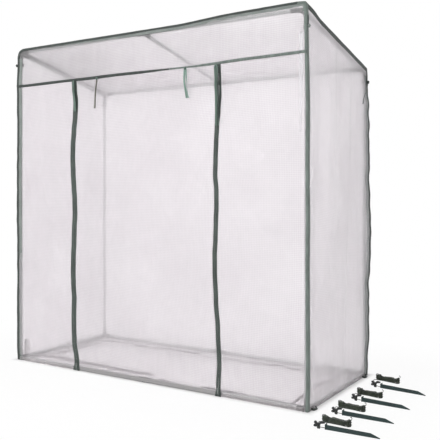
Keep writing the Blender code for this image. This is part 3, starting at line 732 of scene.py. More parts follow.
@dataclass
class PhotoCamera:
    """Camera that stands where the photograph was taken."""

    place: Triple = (2.3758, -2.9977, 1.0404)
    yaw: float = math.radians(31.91)
    pitch: float = -0.0017
    lens: float = 56.54
    sensor: float = 36.0
    shift: Pair = (-0.00675, -0.0596)
    reach: float = 60.0

    def build(self) -> None:
        """Makes the camera the scene's own."""
        data = bpy.data.cameras.new("photo camera")
        data.lens = self.lens
        data.sensor_width = self.sensor
        data.shift_x, data.shift_y = self.shift
        data.clip_end = self.reach
        camera = bpy.data.objects.new("photo camera", data)
        camera.location = self.place
        camera.rotation_euler = (math.pi / 2 + self.pitch, 0.0, self.yaw)
        collection().objects.link(camera)
        bpy.context.scene.camera = camera


@dataclass
class Studio:
    """Pale floor, white surroundings and soft lamps.

    In the picture the floor glows white outside the footprint of the greenhouse, which is painted light:
    mostly over the near distance, to the share beside, and wholly at the far one.
    """

    floor_size: float = 14.0
    floor_colour: Colour = (0.835, 0.83, 0.83)
    beside: float = 0.90
    near: float = 0.05
    far: float = 1.1
    footprint: tuple[Vector, Vector] = field(
        default_factory=lambda: (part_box("left_side_film")[0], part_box("rear_film")[1])
    )
    ambient: float = 0.62
    key_place: Triple = (-1.4, -6.0, 4.6)
    key_size: float = 4.5
    key_power: float = 245.0
    top_place: Triple = (0.6, -0.6, 6.0)
    top_size: float = 5.0
    top_power: float = 90.0
    lit_place: Triple = (0.0, 0.4, 0.9)

    def build(self) -> None:
        """Makes the floor, the world and the lamps."""
        bpy.context.scene.view_settings.view_transform = "Standard"
        self.build_floor()
        self.build_world()
        self.add_lamp("key lamp", self.key_place, self.key_size, self.key_power)
        self.add_lamp("top lamp", self.top_place, self.top_size, self.top_power)

    def seen_rays(self, graph: Graph) -> Socket:
        """Gives 1 for rays from the camera, straight, mirrored or through glass.

        Args:
            graph: Nodes of the floor or the world.

        Returns:
            The socket of the 1 or 0.
        """
        path = graph.add("ShaderNodeLightPath")
        mirrored = graph.maths("MAXIMUM", path.outputs["Is Camera Ray"], path.outputs["Is Glossy Ray"])
        return graph.maths("MAXIMUM", mirrored, path.outputs["Is Transmission Ray"])

    def distance_outside(self, graph: Graph) -> Socket:
        """Gives how far a point of the floor lies outside the footprint of the greenhouse.

        Args:
            graph: Nodes of the floor.

        Returns:
            The distance's socket, below zero inside.
        """
        gaps = []
        for value, low, high in zip(graph.split(graph.coordinates()), *self.footprint):
            middle = graph.maths("SUBTRACT", value, (low + high) / 2)
            gaps.append(graph.maths("SUBTRACT", graph.maths("ABSOLUTE", middle), (high - low) / 2))
        return graph.maths("MAXIMUM", gaps[0], gaps[1])

    def build_floor(self) -> None:
        """Makes the floor, which glows white in the picture away from the greenhouse, as painted light, and
        keeps its shadow.
        """
        bm = bmesh.new()
        bmesh.ops.create_grid(bm, x_segments=4, y_segments=4, size=self.floor_size / 2)
        mesh = bpy.data.meshes.new("floor")
        bm.to_mesh(mesh)
        bm.free()
        paint = bpy.data.materials.new("pale floor")
        graph = Graph(paint)
        graph.set("Base Color", self.floor_colour)
        graph.set("Roughness", 0.9)
        graph.set("Specular IOR Level", 0.1)
        away = self.distance_outside(graph)
        # Share of the white glow for rays from the camera: painted light, none inside the footprint and more
        # further away.
        close = graph.fit(away, 0.0, self.near)
        share = graph.maths("MINIMUM", close, graph.fit(away, self.near, self.far, self.beside, 1.0))
        white = graph.add("ShaderNodeEmission")
        mixer = graph.add("ShaderNodeMixShader")
        graph.feed(mixer.inputs[0], graph.maths("MULTIPLY", self.seen_rays(graph), share))
        graph.feed(mixer.inputs[1], graph.shader.outputs[0])
        graph.feed(mixer.inputs[2], white.outputs[0])
        graph.feed(graph.tree.nodes["Material Output"].inputs["Surface"], mixer.outputs[0])
        mesh.materials.append(paint)
        floor = bpy.data.objects.new("floor", mesh)
        collection().objects.link(floor)

    def build_world(self) -> None:
        """Makes the surroundings white in the picture and a plain soft light elsewhere."""
        world = bpy.data.worlds.new("studio")
        bpy.context.scene.world = world
        graph = Graph(world)
        background = graph.tree.nodes["Background"]
        background.inputs["Color"].default_value = (1.0, 1.0, 1.0, 1.0)
        strength = graph.fit(self.seen_rays(graph), 0.0, 1.0, self.ambient, 1.0)
        graph.feed(background.inputs["Strength"], strength)

    def add_lamp(self, name: str, place: Triple, size: float, power: float) -> None:
        """Adds a square soft lamp that faces the greenhouse.

        Args:
            name: Name of the lamp.
            place: Where it stands.
            size: Length of its side.
            power: Its power in watts.
        """
        data = bpy.data.lights.new(name, "AREA")
        data.size = size
        data.energy = power
        lamp = bpy.data.objects.new(name, data)
        lamp.location = place
        aim = Vector(self.lit_place) - Vector(place)
        lamp.rotation_euler = aim.to_track_quat("-Z", "Y").to_euler()
        collection().objects.link(lamp)


# Guy ropes, each in its peg's own frame as in the model


@dataclass(frozen=True)
class PegSet:
    """Place of one peg, its turn in degrees, and the place of its hank in the peg's frame."""

    x: float
    y: float
    turn: float
    hank_x: float
    hank_y: float

    def placing(self) -> Matrix:
        """Gives the frame of the peg."""
        return Matrix.Translation((self.x, self.y, 0)) @ Matrix.Rotation(math.radians(self.turn), 4, "Z")


@dataclass(frozen=True)
class HankTie:
    """A tie wound round a hank: its middle and length along the hank, turns, half width and height."""

    name: str
    middle: float
    length: float
    turns: int
    half: float
    tall: float


@dataclass
class GuyRopes:
    """The four hanked guy ropes and the ties wound round them."""

    sets: tuple[PegSet, ...] = (
        PegSet(1.153, -0.187, 2.9, 0.020, 0.094),
        PegSet(1.142, 0.037, 1.4, 0.008, 0.108),
        PegSet(1.143, 0.286, -1.5, -0.002, 0.117),
        PegSet(1.143, 0.568, -4.5, -0.019, 0.143),
    )
    diameter: float = 0.003
    lift: float = 0.0003
    joint_gap: float = 0.0003
    run: float = 0.114
    inner_radius: float = 0.0095
    step: float = 0.0039
    layer_step: float = 0.0036
    waist: float = 0.0045
    layers: int = 6
    quarter_points: int = 6
    lead: float = 0.008
    end_leads: tuple[Triple, ...] = ((0.0, 0.9, 0.25), (-0.45, 0.7, 0.5), (-0.9, 0.35, 0.15))
    hank_turn: float = math.radians(-6.0)
    tensioner_centre: Pair = (-0.029, 0.002)
    tensioner_turn: float = math.radians(8.0)
    tensioner_thickness: float = 0.009
    hole: Pair = (-0.004, 0.015)
    head: Pair = (0.0055, 0.0055)
    reach: float = 0.026
    landing_reach: Pair = (0.018, 0.016)
    bend_points: int = 7
    sample: float = 0.0032
    resolution: int = 3
    spread: float = 0.55
    spread_from: float = 0.040
    spread_run: float = 0.030
    ties: tuple[HankTie, ...] = (
        HankTie("hank_tie", 0.004, 0.078, 22, 0.0172, 0.0235),
        HankTie("hank_knot", -0.0535, 0.021, 6, 0.0163, 0.0275),
        HankTie("hank_band", 0.0600, 0.010, 3, 0.0160, 0.0290),
    )
    tie_cell: Pair = (0.0009, 0.0030)
    tie_ridge: float = 0.0009
    tie_taper: float = 0.22
    tie_swell: float = 0.06

    def quarter(self, quarter: int, share: float, radius: float) -> Pair:
        """Gives a point on one quarter of a loop: right end, far run, left end or near run.

        Args:
            quarter: Number of the quarter.
            share: Share of the quarter that is walked.
            radius: Radius of the loop's ends there.

        Returns:
            Place along and across the hank.
        """
        half = self.run / 2
        side = 1 if quarter in (0, 1) else -1
        if quarter in (0, 2):
            angle = (share - 0.5) * math.pi
            return side * (half + radius * math.cos(angle)), side * radius * math.sin(angle)
        drawn_in = self.waist * math.sin(math.pi * share) ** 2
        return side * (half - self.run * share), side * (radius - drawn_in)

    def hank_frame(self, x: float, y: float) -> Matrix:
        """Gives the placing in its peg's frame of a hank with its middle at x and y."""
        return Matrix.Translation((x, y, 0)) @ Matrix.Rotation(self.hank_turn, 4, "Z")

    def hank(self) -> list[Vector]:
        """Gives the points of the hank, two layers fuller than the model's, in its own frame.

        Each stage is a stretch of the winding: its number of quarters, how much each of them widens the
        loop, and whether the rope climbs to the next layer.

        Returns:
            The points, from the free stretch to the loose end.
        """
        rest = self.diameter / 2 + self.lift
        radius = self.inner_radius + self.step
        widening = self.step / 4
        stages = [(4, -widening, 0)]
        for layer in range(1, self.layers):
            quarters = 4.5 if layer == self.layers - 1 else 5
            stages += [(1, 0, 1), (quarters, widening if layer % 2 else -widening, 0)]
        points = [Vector((-self.run / 2 - self.lead, -radius, 0))]
        points.append(points[0] + Vector((self.diameter, 0, 0)))
        level = walked = 0
        for quarters, gain, climb in stages:
            for step in range(round(quarters * self.quarter_points)):
                turned = step / self.quarter_points
                quarter = (3 + walked // self.quarter_points) % 4
                share = walked % self.quarter_points / self.quarter_points
                x, y = self.quarter(quarter, share, radius + gain * turned)
                height = (level + (ease(turned) if climb else 0)) * self.layer_step
                points.append(Vector((x, y, height)))
                walked += 1
            radius += gain * quarters
            level += climb
        points.append(Vector((self.run / 2 + radius, 0, level * self.layer_step)))
        for lead in self.end_leads:
            points.append(points[-1] + Vector(lead) * self.lead)
        for point in points:
            outer = ease((abs(point.x) - self.spread_from) / self.spread_run)
            point.z = rest + point.z * (1 + self.spread * outer)
        return points

    def bend(self, *places: Vector) -> list[Vector]:
        """Gives points on a bend from the first of four places to the last, drawn towards the others.

        Args:
            places: The four places.

        Returns:
            The points between the first place and the last.
        """
        points = []
        for step in range(1, self.bend_points):
            t = step / self.bend_points
            weights = ((1 - t) ** 3, 3 * t * (1 - t) ** 2, 3 * t * t * (1 - t), t**3)
            points.append(sum((place * weight for place, weight in zip(places, weights)), Vector()))
        return points

    def tail(self, first: Vector, back: Vector) -> list[Vector]:
        """Gives the free stretch from the peg's head through the tensioner to the hank.

        Args:
            first: First point of the hank.
            back: Direction in which the rope leaves the hank.

        Returns:
            Points of the stretch, the head's end first.
        """
        plate = Matrix.Translation((*self.tensioner_centre, 0)) @ Matrix.Rotation(self.tensioner_turn, 4, "Z")
        side, height = self.hole
        clear = self.tensioner_thickness / 2 + self.diameter
        behind, through, before = (plate @ Vector((side, y, height)) for y in (clear, 0, -clear))
        away = plate.to_3x3() @ Vector((0, 1, 0))
        start = first + back * self.joint_gap
        off = start + back * self.diameter
        head = Vector((-self.joint_gap, *self.head))
        near_head = head - Vector((self.diameter, 0, 0))
        low = Vector((0, 0, self.diameter / 2 + self.lift - height))
        front_pull, head_pull = self.landing_reach
        route = [start, off]
        route += self.bend(off, off + back * self.reach, behind + away * self.reach + low, behind)
        route += [behind, through, before]
        head_side = near_head - Vector((head_pull, 0, 0))
        route += self.bend(before, before - away * front_pull, head_side, near_head)
        route += [near_head, head]
        return route[::-1]

    def build(self) -> None:
        """Lays the four ropes and their ties beside the right wall."""
        hank = self.hank()
        for number, peg in enumerate(self.sets, 1):
            place = peg.placing()
            placing = self.hank_frame(peg.hank_x, peg.hank_y)
            wound = [placing @ point for point in hank]
            back = placing.to_3x3() @ Vector((-1, 0, 0))
            route = smooth_line([*self.tail(wound[0], back), *wound], self.sample)
            length = line_length(route)
            points = [place @ point for point in route]
            curve = rope_curve("guy_rope", points, self.diameter, self.resolution)
            rope = add_piece(f"guy_rope_{number}", curve, ROPE)
            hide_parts(f"guy_rope_hank_{number}", f"guy_rope_tail_{number}")
            ties = [self.build_tie(number, place @ placing, tie) for tie in self.ties]
            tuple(points[0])
            log.info("guy rope %d: %.3f m long", number, length)

    def build_tie(self, number: int, place: Matrix, tie: HankTie) -> bpy.types.Object:
        """Winds a tie of turns round a hank.

        Args:
            number: Number of the hank.
            place: Frame of the hank.
            tie: Sizes of the tie.

        Returns:
            The tie.
        """
        around = 2 * (tie.half + tie.tall) * 1.6

        def wound(along: float, about: float) -> Vector:
            """Gives a point of the wound tie.

            Args:
                along: Distance along the hank.
                about: Distance round it.

            Returns:
                The point.
            """
            share = along / tie.length
            angle = -2 * math.pi * about / around
            lane = (share * tie.turns + about / around) % 1.0
            edge = min(share, 1 - share)
            ridge = self.tie_ridge * abs(math.sin(math.pi * lane)) * ease(edge * tie.turns / 2)
            taper = 1 - self.tie_taper * ease(1 - edge * 5)
            swell = 1 + self.tie_swell * math.sin(share * 5 + number)
            y = math.cos(angle) * (tie.half * taper * swell + ridge)
            height = tie.tall * taper * swell + ridge
            z = max(0.0002, height / 2 * (1 + 1.25 * math.sin(angle)))
            return place @ Vector((tie.middle + (share - 0.5) * tie.length, y, min(z, height)))

        mesh = cut_grid(tie.name, (tie.length, around), self.tie_cell, wound)
        weld(mesh)
        return add_piece(f"{tie.name}_{number}", mesh, ROPE)


# Cover


@dataclass
class Shell:
    """Surface of the cover that its films, tapes and bindings share.

    A stage runs round the outline of an end face: 0 at the left foot, 1 and 2 at the ends of the left
    bend, 3 and 4 at those of the right bend, and 5 at the right foot.
    """

    half_width: float = field(default_factory=lambda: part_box("rear_film")[1].x)
    front_y: float = field(default_factory=lambda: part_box("header_film")[0].y)
    rear_y: float = field(default_factory=lambda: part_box("rear_film")[1].y)
    foot_z: float = 0.0008
    seam_z: float = field(default_factory=lambda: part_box("header_film")[0].z)
    front_rail: Vector = field(default_factory=lambda: sum(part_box("front_left_eave_tube"), Vector()) / 2)
    rear_rail: Vector = field(default_factory=lambda: sum(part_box("rear_left_eave_tube"), Vector()) / 2)
    post_x: float = field(default_factory=lambda: sum(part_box("front_right_post"), Vector()).x / 2)
    bend_radius: float = 0.045
    square: float = 0.78
    round_corner: float = 0.2
    corner_reach: float = 0.11
    corner_swing: float = 0.0055
    loose_swing: float = 0.013
    loose_belly: float = 0.0050
    belly_low: float = 0.50
    belly_high: float = 1.60
    top_lean: float = 0.0065
    lean_height: float = 1.42
    ridge_stand: float = 0.019

    def __post_init__(self) -> None:
        """Works out the fall of the roof in each metre towards the rear."""
        self.slope = (self.front_rail.z - self.rear_rail.z) / (self.rear_rail.y - self.front_rail.y)

    def end_y(self, end: End) -> float:
        """Gives the depth of an end face."""
        return self.front_y if end is End.FRONT else self.rear_y

    def rail_height(self, y: float) -> float:
        """Gives the height of the roof's rail line at a depth."""
        return self.front_rail.z - self.slope * (y - self.front_rail.y)

    def at(self, stage: float, y: float, lift: float = 0.0) -> Vector:
        """Gives a point of the cover's walls and roof.

        Args:
            stage: Place round the outline.
            y: Depth.
            lift: Distance outside the cover.

        Returns:
            The point.
        """
        side = -1 if stage < 2.5 else 1
        from_foot = stage if side < 0 else 5 - stage
        offset = self.half_width - self.post_x + lift
        knee = self.post_x - self.bend_radius
        tilted = offset * math.hypot(1, self.slope)
        if from_foot <= 1:
            top = self.rail_height(y) - self.bend_radius
            return Vector((side * (self.post_x + offset), y, mix(self.foot_z, top, from_foot)))
        angle = min(1.0, from_foot - 1) * math.pi / 2
        square = self.squareness(side, y)
        run = mix(math.cos(angle), min(1.0, math.cos(angle) / max(0.001, math.sin(angle))), square)
        rise = mix(math.sin(angle), min(1.0, math.sin(angle) / max(0.001, math.cos(angle))), square)
        x = side * (knee + (self.bend_radius + offset) * run)
        if from_foot > 2:
            x = mix(-knee, knee, stage - 2)
        return Vector((x, y, self.rail_height(y) - self.bend_radius + (self.bend_radius + tilted) * rise))

    def squareness(self, side: int, y: float) -> float:
        """Gives how square the bend of the outline is: least at the rounded front left corner.

        Args:
            side: Sign of the side along X.
            y: Depth.

        Returns:
            The squareness, from 0 for a round bend to 1 for a square one.
        """
        if side > 0:
            return self.square
        return mix(self.round_corner, self.square, ease((y - self.front_y) / 0.3))

    def outward(self, stage: float) -> Vector:
        """Gives the direction out of the outline, in the plane of an end face.

        Args:
            stage: Place round the outline.

        Returns:
            The direction.
        """
        side = -1 if stage < 2.5 else 1
        angle = min(1.0, max(0.0, (stage if side < 0 else 5 - stage) - 1)) * math.pi / 2
        return Vector((side * math.cos(angle), 0, math.sin(angle)))

    def stage_lengths(self, y: float) -> tuple[float, ...]:
        """Gives the length of each of the five stages at a depth.

        Args:
            y: Depth.

        Returns:
            The lengths, from the left foot to the right one.
        """
        upright = self.rail_height(y) - self.bend_radius - self.foot_z
        radius = self.bend_radius + self.half_width - self.post_x
        bend = radius * mix(math.pi / 2, 2.0, self.square)
        return upright, bend, 2 * (self.post_x - self.bend_radius), bend, upright

    def stage_at(self, distance: float, y: float) -> float:
        """Turns a distance walked round the outline from the left foot into a stage."""
        ends = np.cumsum([0.0, *self.stage_lengths(y)])
        return float(np.interp(distance, ends, range(6)))

    def swing(self, point: Vector) -> Vector:
        """Gives how far the loose corners of the cover stand out at a point.

        Args:
            point: Point of the plain cover.

        Returns:
            The shift.
        """
        shift = Vector()
        for side in Side:
            for end in End:
                away = math.hypot(point.x - side.value * self.half_width, point.y - self.end_y(end))
                near = 1 - ease(away / self.corner_reach)
                if near <= 0:
                    continue
                seed = 3.1 * side.value + 7.7 * end.value
                sway = 0.5 + 0.5 * wave(point.z * 4.2, seed) + 0.22 * wave(point.z * 15.0, seed + 5)
                ends = ease(point.z / 0.10) * ease((self.rail_height(point.y) - 0.07 - point.z) / 0.15)
                loose = side is Side.RIGHT and end is End.REAR
                amount = (self.loose_swing if loose else self.corner_swing) * max(0.0, sway) * near * ends
                if loose:
                    belly = self.loose_belly * near * ease((point.z - self.belly_low) / 0.12)
                    amount += belly * ease((self.belly_high - point.z) / 0.10)
                shift += Vector((side.value, end.value, 0)) * amount
        across = math.hypot(point.x - self.half_width, point.y - self.front_y)
        leaning = ease((point.z - self.lean_height) / 0.36) * (1 - ease(across / self.corner_reach))
        shift.x -= self.top_lean * leaning
        shift.z = self.ridge_stand * self.ridge_share(point)
        return shift

    def ridge_share(self, point: Vector) -> float:
        """Gives the share by which the front top edge stands over its tube, all of it at the right corner.

        Args:
            point: Point of the plain cover.

        Returns:
            The share.
        """
        along = 0.8 * ease((point.x - 0.2) / 0.4) + 0.2 * ease((point.x - 0.5) / 0.45)
        ahead = 1 - ease((point.y - self.front_y) / 0.18)
        high = ease((point.z - self.rail_height(point.y) + 0.10) / 0.10)
        return along * ahead * high


@dataclass
class Drape:
    """Wrinkles of one film: long soft folds and finer creases, which fade at the film's edges.

    Folds are how many come in a metre across and along the film. Fade gives the distances over which
    the wrinkles end: at the film's two edges across it, then at its two ends along it.
    """

    seed: float
    folds: Pair
    depth: float
    creases: float = 0.0012
    fade: tuple[float, float, float, float] = (0.05, 0.05, 0.05, 0.05)
    lean: float = 0.0
    sag: float = 0.0

    def lift(self, u: float, v: float, flat: Pair) -> float:
        """Gives how far the film stands out of its plain surface.

        Args:
            u: Distance across the film.
            v: Distance along it.
            flat: Width and length of the film.

        Returns:
            The height of the wrinkles, below zero where the film hangs in.
        """
        u_fade = ease(u / self.fade[0]) * ease((flat[0] - u) / self.fade[1])
        v_fade = ease(v / self.fade[2]) * ease((flat[1] - v) / self.fade[3])
        leaned = u + self.lean * v
        fold = wave(leaned * self.folds[0], v * self.folds[1], self.seed)
        fine = wave(leaned * self.folds[0] * 3.1, v * self.folds[1] * 2.3, self.seed + 9)
        ridge = (1 - abs(wave(leaned * 9, v * 5 + leaned * 3, self.seed + 4))) ** 6
        belly = -self.sag * math.sin(math.pi * u / flat[0]) * math.sin(math.pi * v / flat[1])
        return (fold * self.depth + fine * self.depth * 0.3 + ridge * self.creases + belly) * u_fade * v_fade


@dataclass
class FilmPanel:
    """One wrinkled film of the cover, which stands for a plain film of the model."""

    name: str
    node: str
    flat: Pair
    surface: Callable[[float, float, float], Vector]
    drape: Drape
    step: float = 0.014
    thickness: float = FILM_THICKNESS
    rests_on: tuple[str, ...] = ()
    finish: Finish = FILM

    def build(self, shell: Shell) -> None:
        """Makes the film.

        Args:
            shell: Shape of the cover.
        """

        def place(u: float, v: float) -> Vector:
            """Gives a point of the wrinkled film.

            Args:
                u: Distance across it.
                v: Distance along it.

            Returns:
                The point.
            """
            point = self.surface(u, v, self.drape.lift(u, v, self.flat))
            return point + shell.swing(point)

        mesh = cut_grid(self.name, self.flat, (self.step, self.step), place)
        film = add_piece(self.name, mesh, self.finish)
        thicken(film, self.thickness)
        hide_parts(self.node)
        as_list(self.rests_on)
        log.info("%s: %.3f x %.3f m", self.name, *self.flat)


@dataclass
class ZipLine:
    """Course of one zip, with its drift: heights, each with the zip's shift along X there."""

    side: Side
    centre: float = 0.490
    tape_width: float = 0.013
    drift: tuple[Pair, ...] = ()

    def x(self, z: float) -> float:
        """Gives the place of the zip's middle at a height.

        Args:
            z: Height.

        Returns:
            The place along X.
        """
        heights = [height for height, _ in self.drift]
        shifts = [shift for _, shift in self.drift]
        place = int(np.clip(np.searchsorted(heights, z) - 1, 0, len(heights) - 2))
        share = (z - heights[place]) / (heights[place + 1] - heights[place])
        return self.side.value * self.centre + mix(shifts[place], shifts[place + 1], ease(share))


LEFT_ZIP = ZipLine(
    Side.LEFT,
    tape_width=0.018,
    drift=(
        (0.0, 0.0), (0.05, -0.001), (0.17, -0.021), (0.25, -0.024), (0.33, -0.0245),
        (0.42, -0.022), (0.50, -0.028), (0.58, -0.030), (0.66, -0.0285), (0.75, -0.0235),
        (0.83, -0.021), (0.92, -0.0155), (1.00, -0.018), (1.07, -0.024), (1.16, -0.030),
        (1.24, -0.0335), (1.32, -0.0315), (1.40, -0.024), (1.49, -0.0135), (1.57, -0.009),
        (1.65, -0.019), (1.70, -0.022),
    ),
)
RIGHT_ZIP = ZipLine(
    Side.RIGHT,
    tape_width=0.0125,
    drift=(
        (0.0, 0.0), (0.06, 0.0), (0.16, 0.005), (0.34, -0.003), (0.49, -0.015),
        (0.64, -0.022), (0.72, -0.0225), (0.80, -0.018), (0.89, -0.0155), (0.97, -0.012),
        (1.05, -0.0125), (1.13, -0.0195), (1.21, -0.0175), (1.30, -0.0135), (1.38, -0.009),
        (1.46, -0.001), (1.54, 0.005), (1.62, 0.003), (1.70, 0.0),
    ),
)


@dataclass
class Cover:
    """The films of the roof, the walls and the front."""

    shell: Shell
    tape_reach: float = 0.0125

    def build(self) -> None:
        """Makes every film of the cover but the door."""
        shell = self.shell
        self.build_roof()
        for side in Side:
            self.build_wall(side)
        drape = Drape(13.0, (2.6, 1.3), 0.006, fade=(0.12, 0.12, 0.05, 0.06), lean=0.3)
        self.build_end(End.REAR, "rear_wall", "rear_film", shell.foot_z, drape, FILM)
        drape = Drape(8.0, (5.0, 3.0), 0.003, fade=(0.06, 0.06, 0.04, 0.05))
        # The header's film is a darker copy of the film, with painted shade.
        self.build_end(End.FRONT, "header_panel", "header_film", shell.seam_z, drape, HEADER_FILM_PAINTED_SHADE)
        for line in (LEFT_ZIP, RIGHT_ZIP):
            self.build_front_panel(line)

    def build_roof(self) -> None:
        """Makes the roof film, which turns down over the outer rafters to its seams."""
        shell = self.shell
        bend, top = shell.stage_lengths(0.0)[1:3]
        flat = (top + bend, (shell.rear_y - shell.front_y) * math.hypot(1, shell.slope))

        def surface(u: float, v: float, lift: float) -> Vector:
            """Gives a point of the roof.

            Args:
                u: Distance across the film.
                v: Distance along it.
                lift: Height of its wrinkles there.

            Returns:
                The point.
            """
            y = mix(shell.front_y, shell.rear_y, v / flat[1])
            rafter = ease(abs(u - flat[0] / 2) / 0.10)
            stage = float(np.interp(u, (0, bend / 2, flat[0] - bend / 2, flat[0]), (1.5, 2, 3, 3.5)))
            return shell.at(stage, y, lift * rafter)

        drape = Drape(1.3, (3.4, 4.6), 0.0045, sag=0.010, fade=(0.10, 0.10, 0.06, 0.06))
        rests_on = ("left_rafter", "middle_rafter")
        # The roof's film has painted shade towards its left edge.
        film = FilmPanel("roof_cover", "roof_film", flat, surface, drape, rests_on=rests_on, finish=ROOF_FILM_PAINTED_SHADE)
        film.build(shell)

    def build_wall(self, side: Side) -> None:
        """Makes a side film, whose top turns in over the outer rafter.

        Args:
            side: Side of the greenhouse.
        """
        shell = self.shell
        upright, bend = shell.stage_lengths(shell.front_y)[:2]
        flat = (shell.rear_y - shell.front_y, upright + bend / 2)

        def surface(u: float, v: float, lift: float) -> Vector:
            """Gives a point of the side wall.

            Args:
                u: Distance across the film.
                v: Distance along it.
                lift: Height of its wrinkles there.

            Returns:
                The point.
            """
            y = shell.front_y + u if side is Side.RIGHT else shell.rear_y - u
            from_foot = v / upright if v < upright else 1 + 0.5 * (v - upright) / (flat[1] - upright)
            return shell.at(5 - from_foot if side is Side.RIGHT else from_foot, y, lift)

        drape = Drape(
            4.0 + 3 * side.value,
            (6.5, 0.75),
            0.0085,
            creases=0.0016,
            fade=(0.09, 0.09, 0.05, 0.12),
            lean=-0.05 * side.value,
        )
        node = f"{side.word}_side_film"
        rests_on = (f"{side.word}_rafter",)
        # The right wall's film has painted light, and painted shade towards the rear.
        finish = SIDE_FILM_PAINTED_LIGHT_AND_SHADE if side is Side.RIGHT else FILM
        film = FilmPanel(f"{side.word}_wall", node, flat, surface, drape, rests_on=rests_on, finish=finish)
        film.build(shell)

    def build_end(self, end: End, name: str, node: str, bottom: float, drape: Drape, finish: Finish) -> None:
        """Makes the film of an end face, from a height up to the roof.

        Args:
            end: The end face.
            name: Name of the film.
            node: Node that it stands for.
            bottom: Height of its lower edge.
            drape: Its wrinkles.
            finish: Its finish.
        """
        shell = self.shell
        y = shell.end_y(end)
        flat = (2 * shell.half_width, shell.at(2.5, y).z - bottom)
        rim = [shell.at(stage, y) for stage in np.linspace(1, 4, 301)]

        def surface(u: float, v: float, lift: float) -> Vector:
            """Gives a point of the end face.

            Args:
                u: Distance across the film.
                v: Distance along it.
                lift: Height of its wrinkles there.

            Returns:
                The point.
            """
            x = end.value * (flat[0] / 2 - u)
            top = float(np.interp(x, [point.x for point in rim], [point.z for point in rim]))
            return Vector((x, y + end.value * lift, mix(bottom, top, v / flat[1])))

        rests_on = (f"{end.word}_left_eave_tube",)
        FilmPanel(name, node, flat, surface, drape, rests_on=rests_on, finish=finish).build(shell)

    def build_front_panel(self, line: ZipLine) -> None:
        """Makes the fixed film beside the door, which meets its zip's tape.

        Args:
            line: Course of the zip.
        """
        shell = self.shell
        side = line.side
        flat = (shell.half_width - line.centre - self.tape_reach, shell.seam_z - shell.foot_z)

        def surface(u: float, v: float, lift: float) -> Vector:
            """Gives a point of the front panel.

            Args:
                u: Distance across the film.
                v: Distance along it.
                lift: Height of its wrinkles there.

            Returns:
                The point.
            """
            z = shell.foot_z + v
            zip_edge = line.x(z) + side.value * self.tape_reach
            outer = side.value * shell.half_width
            first, last = (outer, zip_edge) if side is Side.LEFT else (zip_edge, outer)
            return Vector((mix(first, last, u / flat[0]), shell.front_y - lift, z))

        drape = Drape(20.0 + side.value, (4.5, 1.6), 0.0045, fade=(0.05, 0.05, 0.05, 0.04), lean=0.25)
        name = f"front_{side.word}_panel"
        node = f"front_{side.word}_film"
        rests_on = (f"front_{side.word}_post",)
        FilmPanel(name, node, flat, surface, drape, rests_on=rests_on).build(shell)


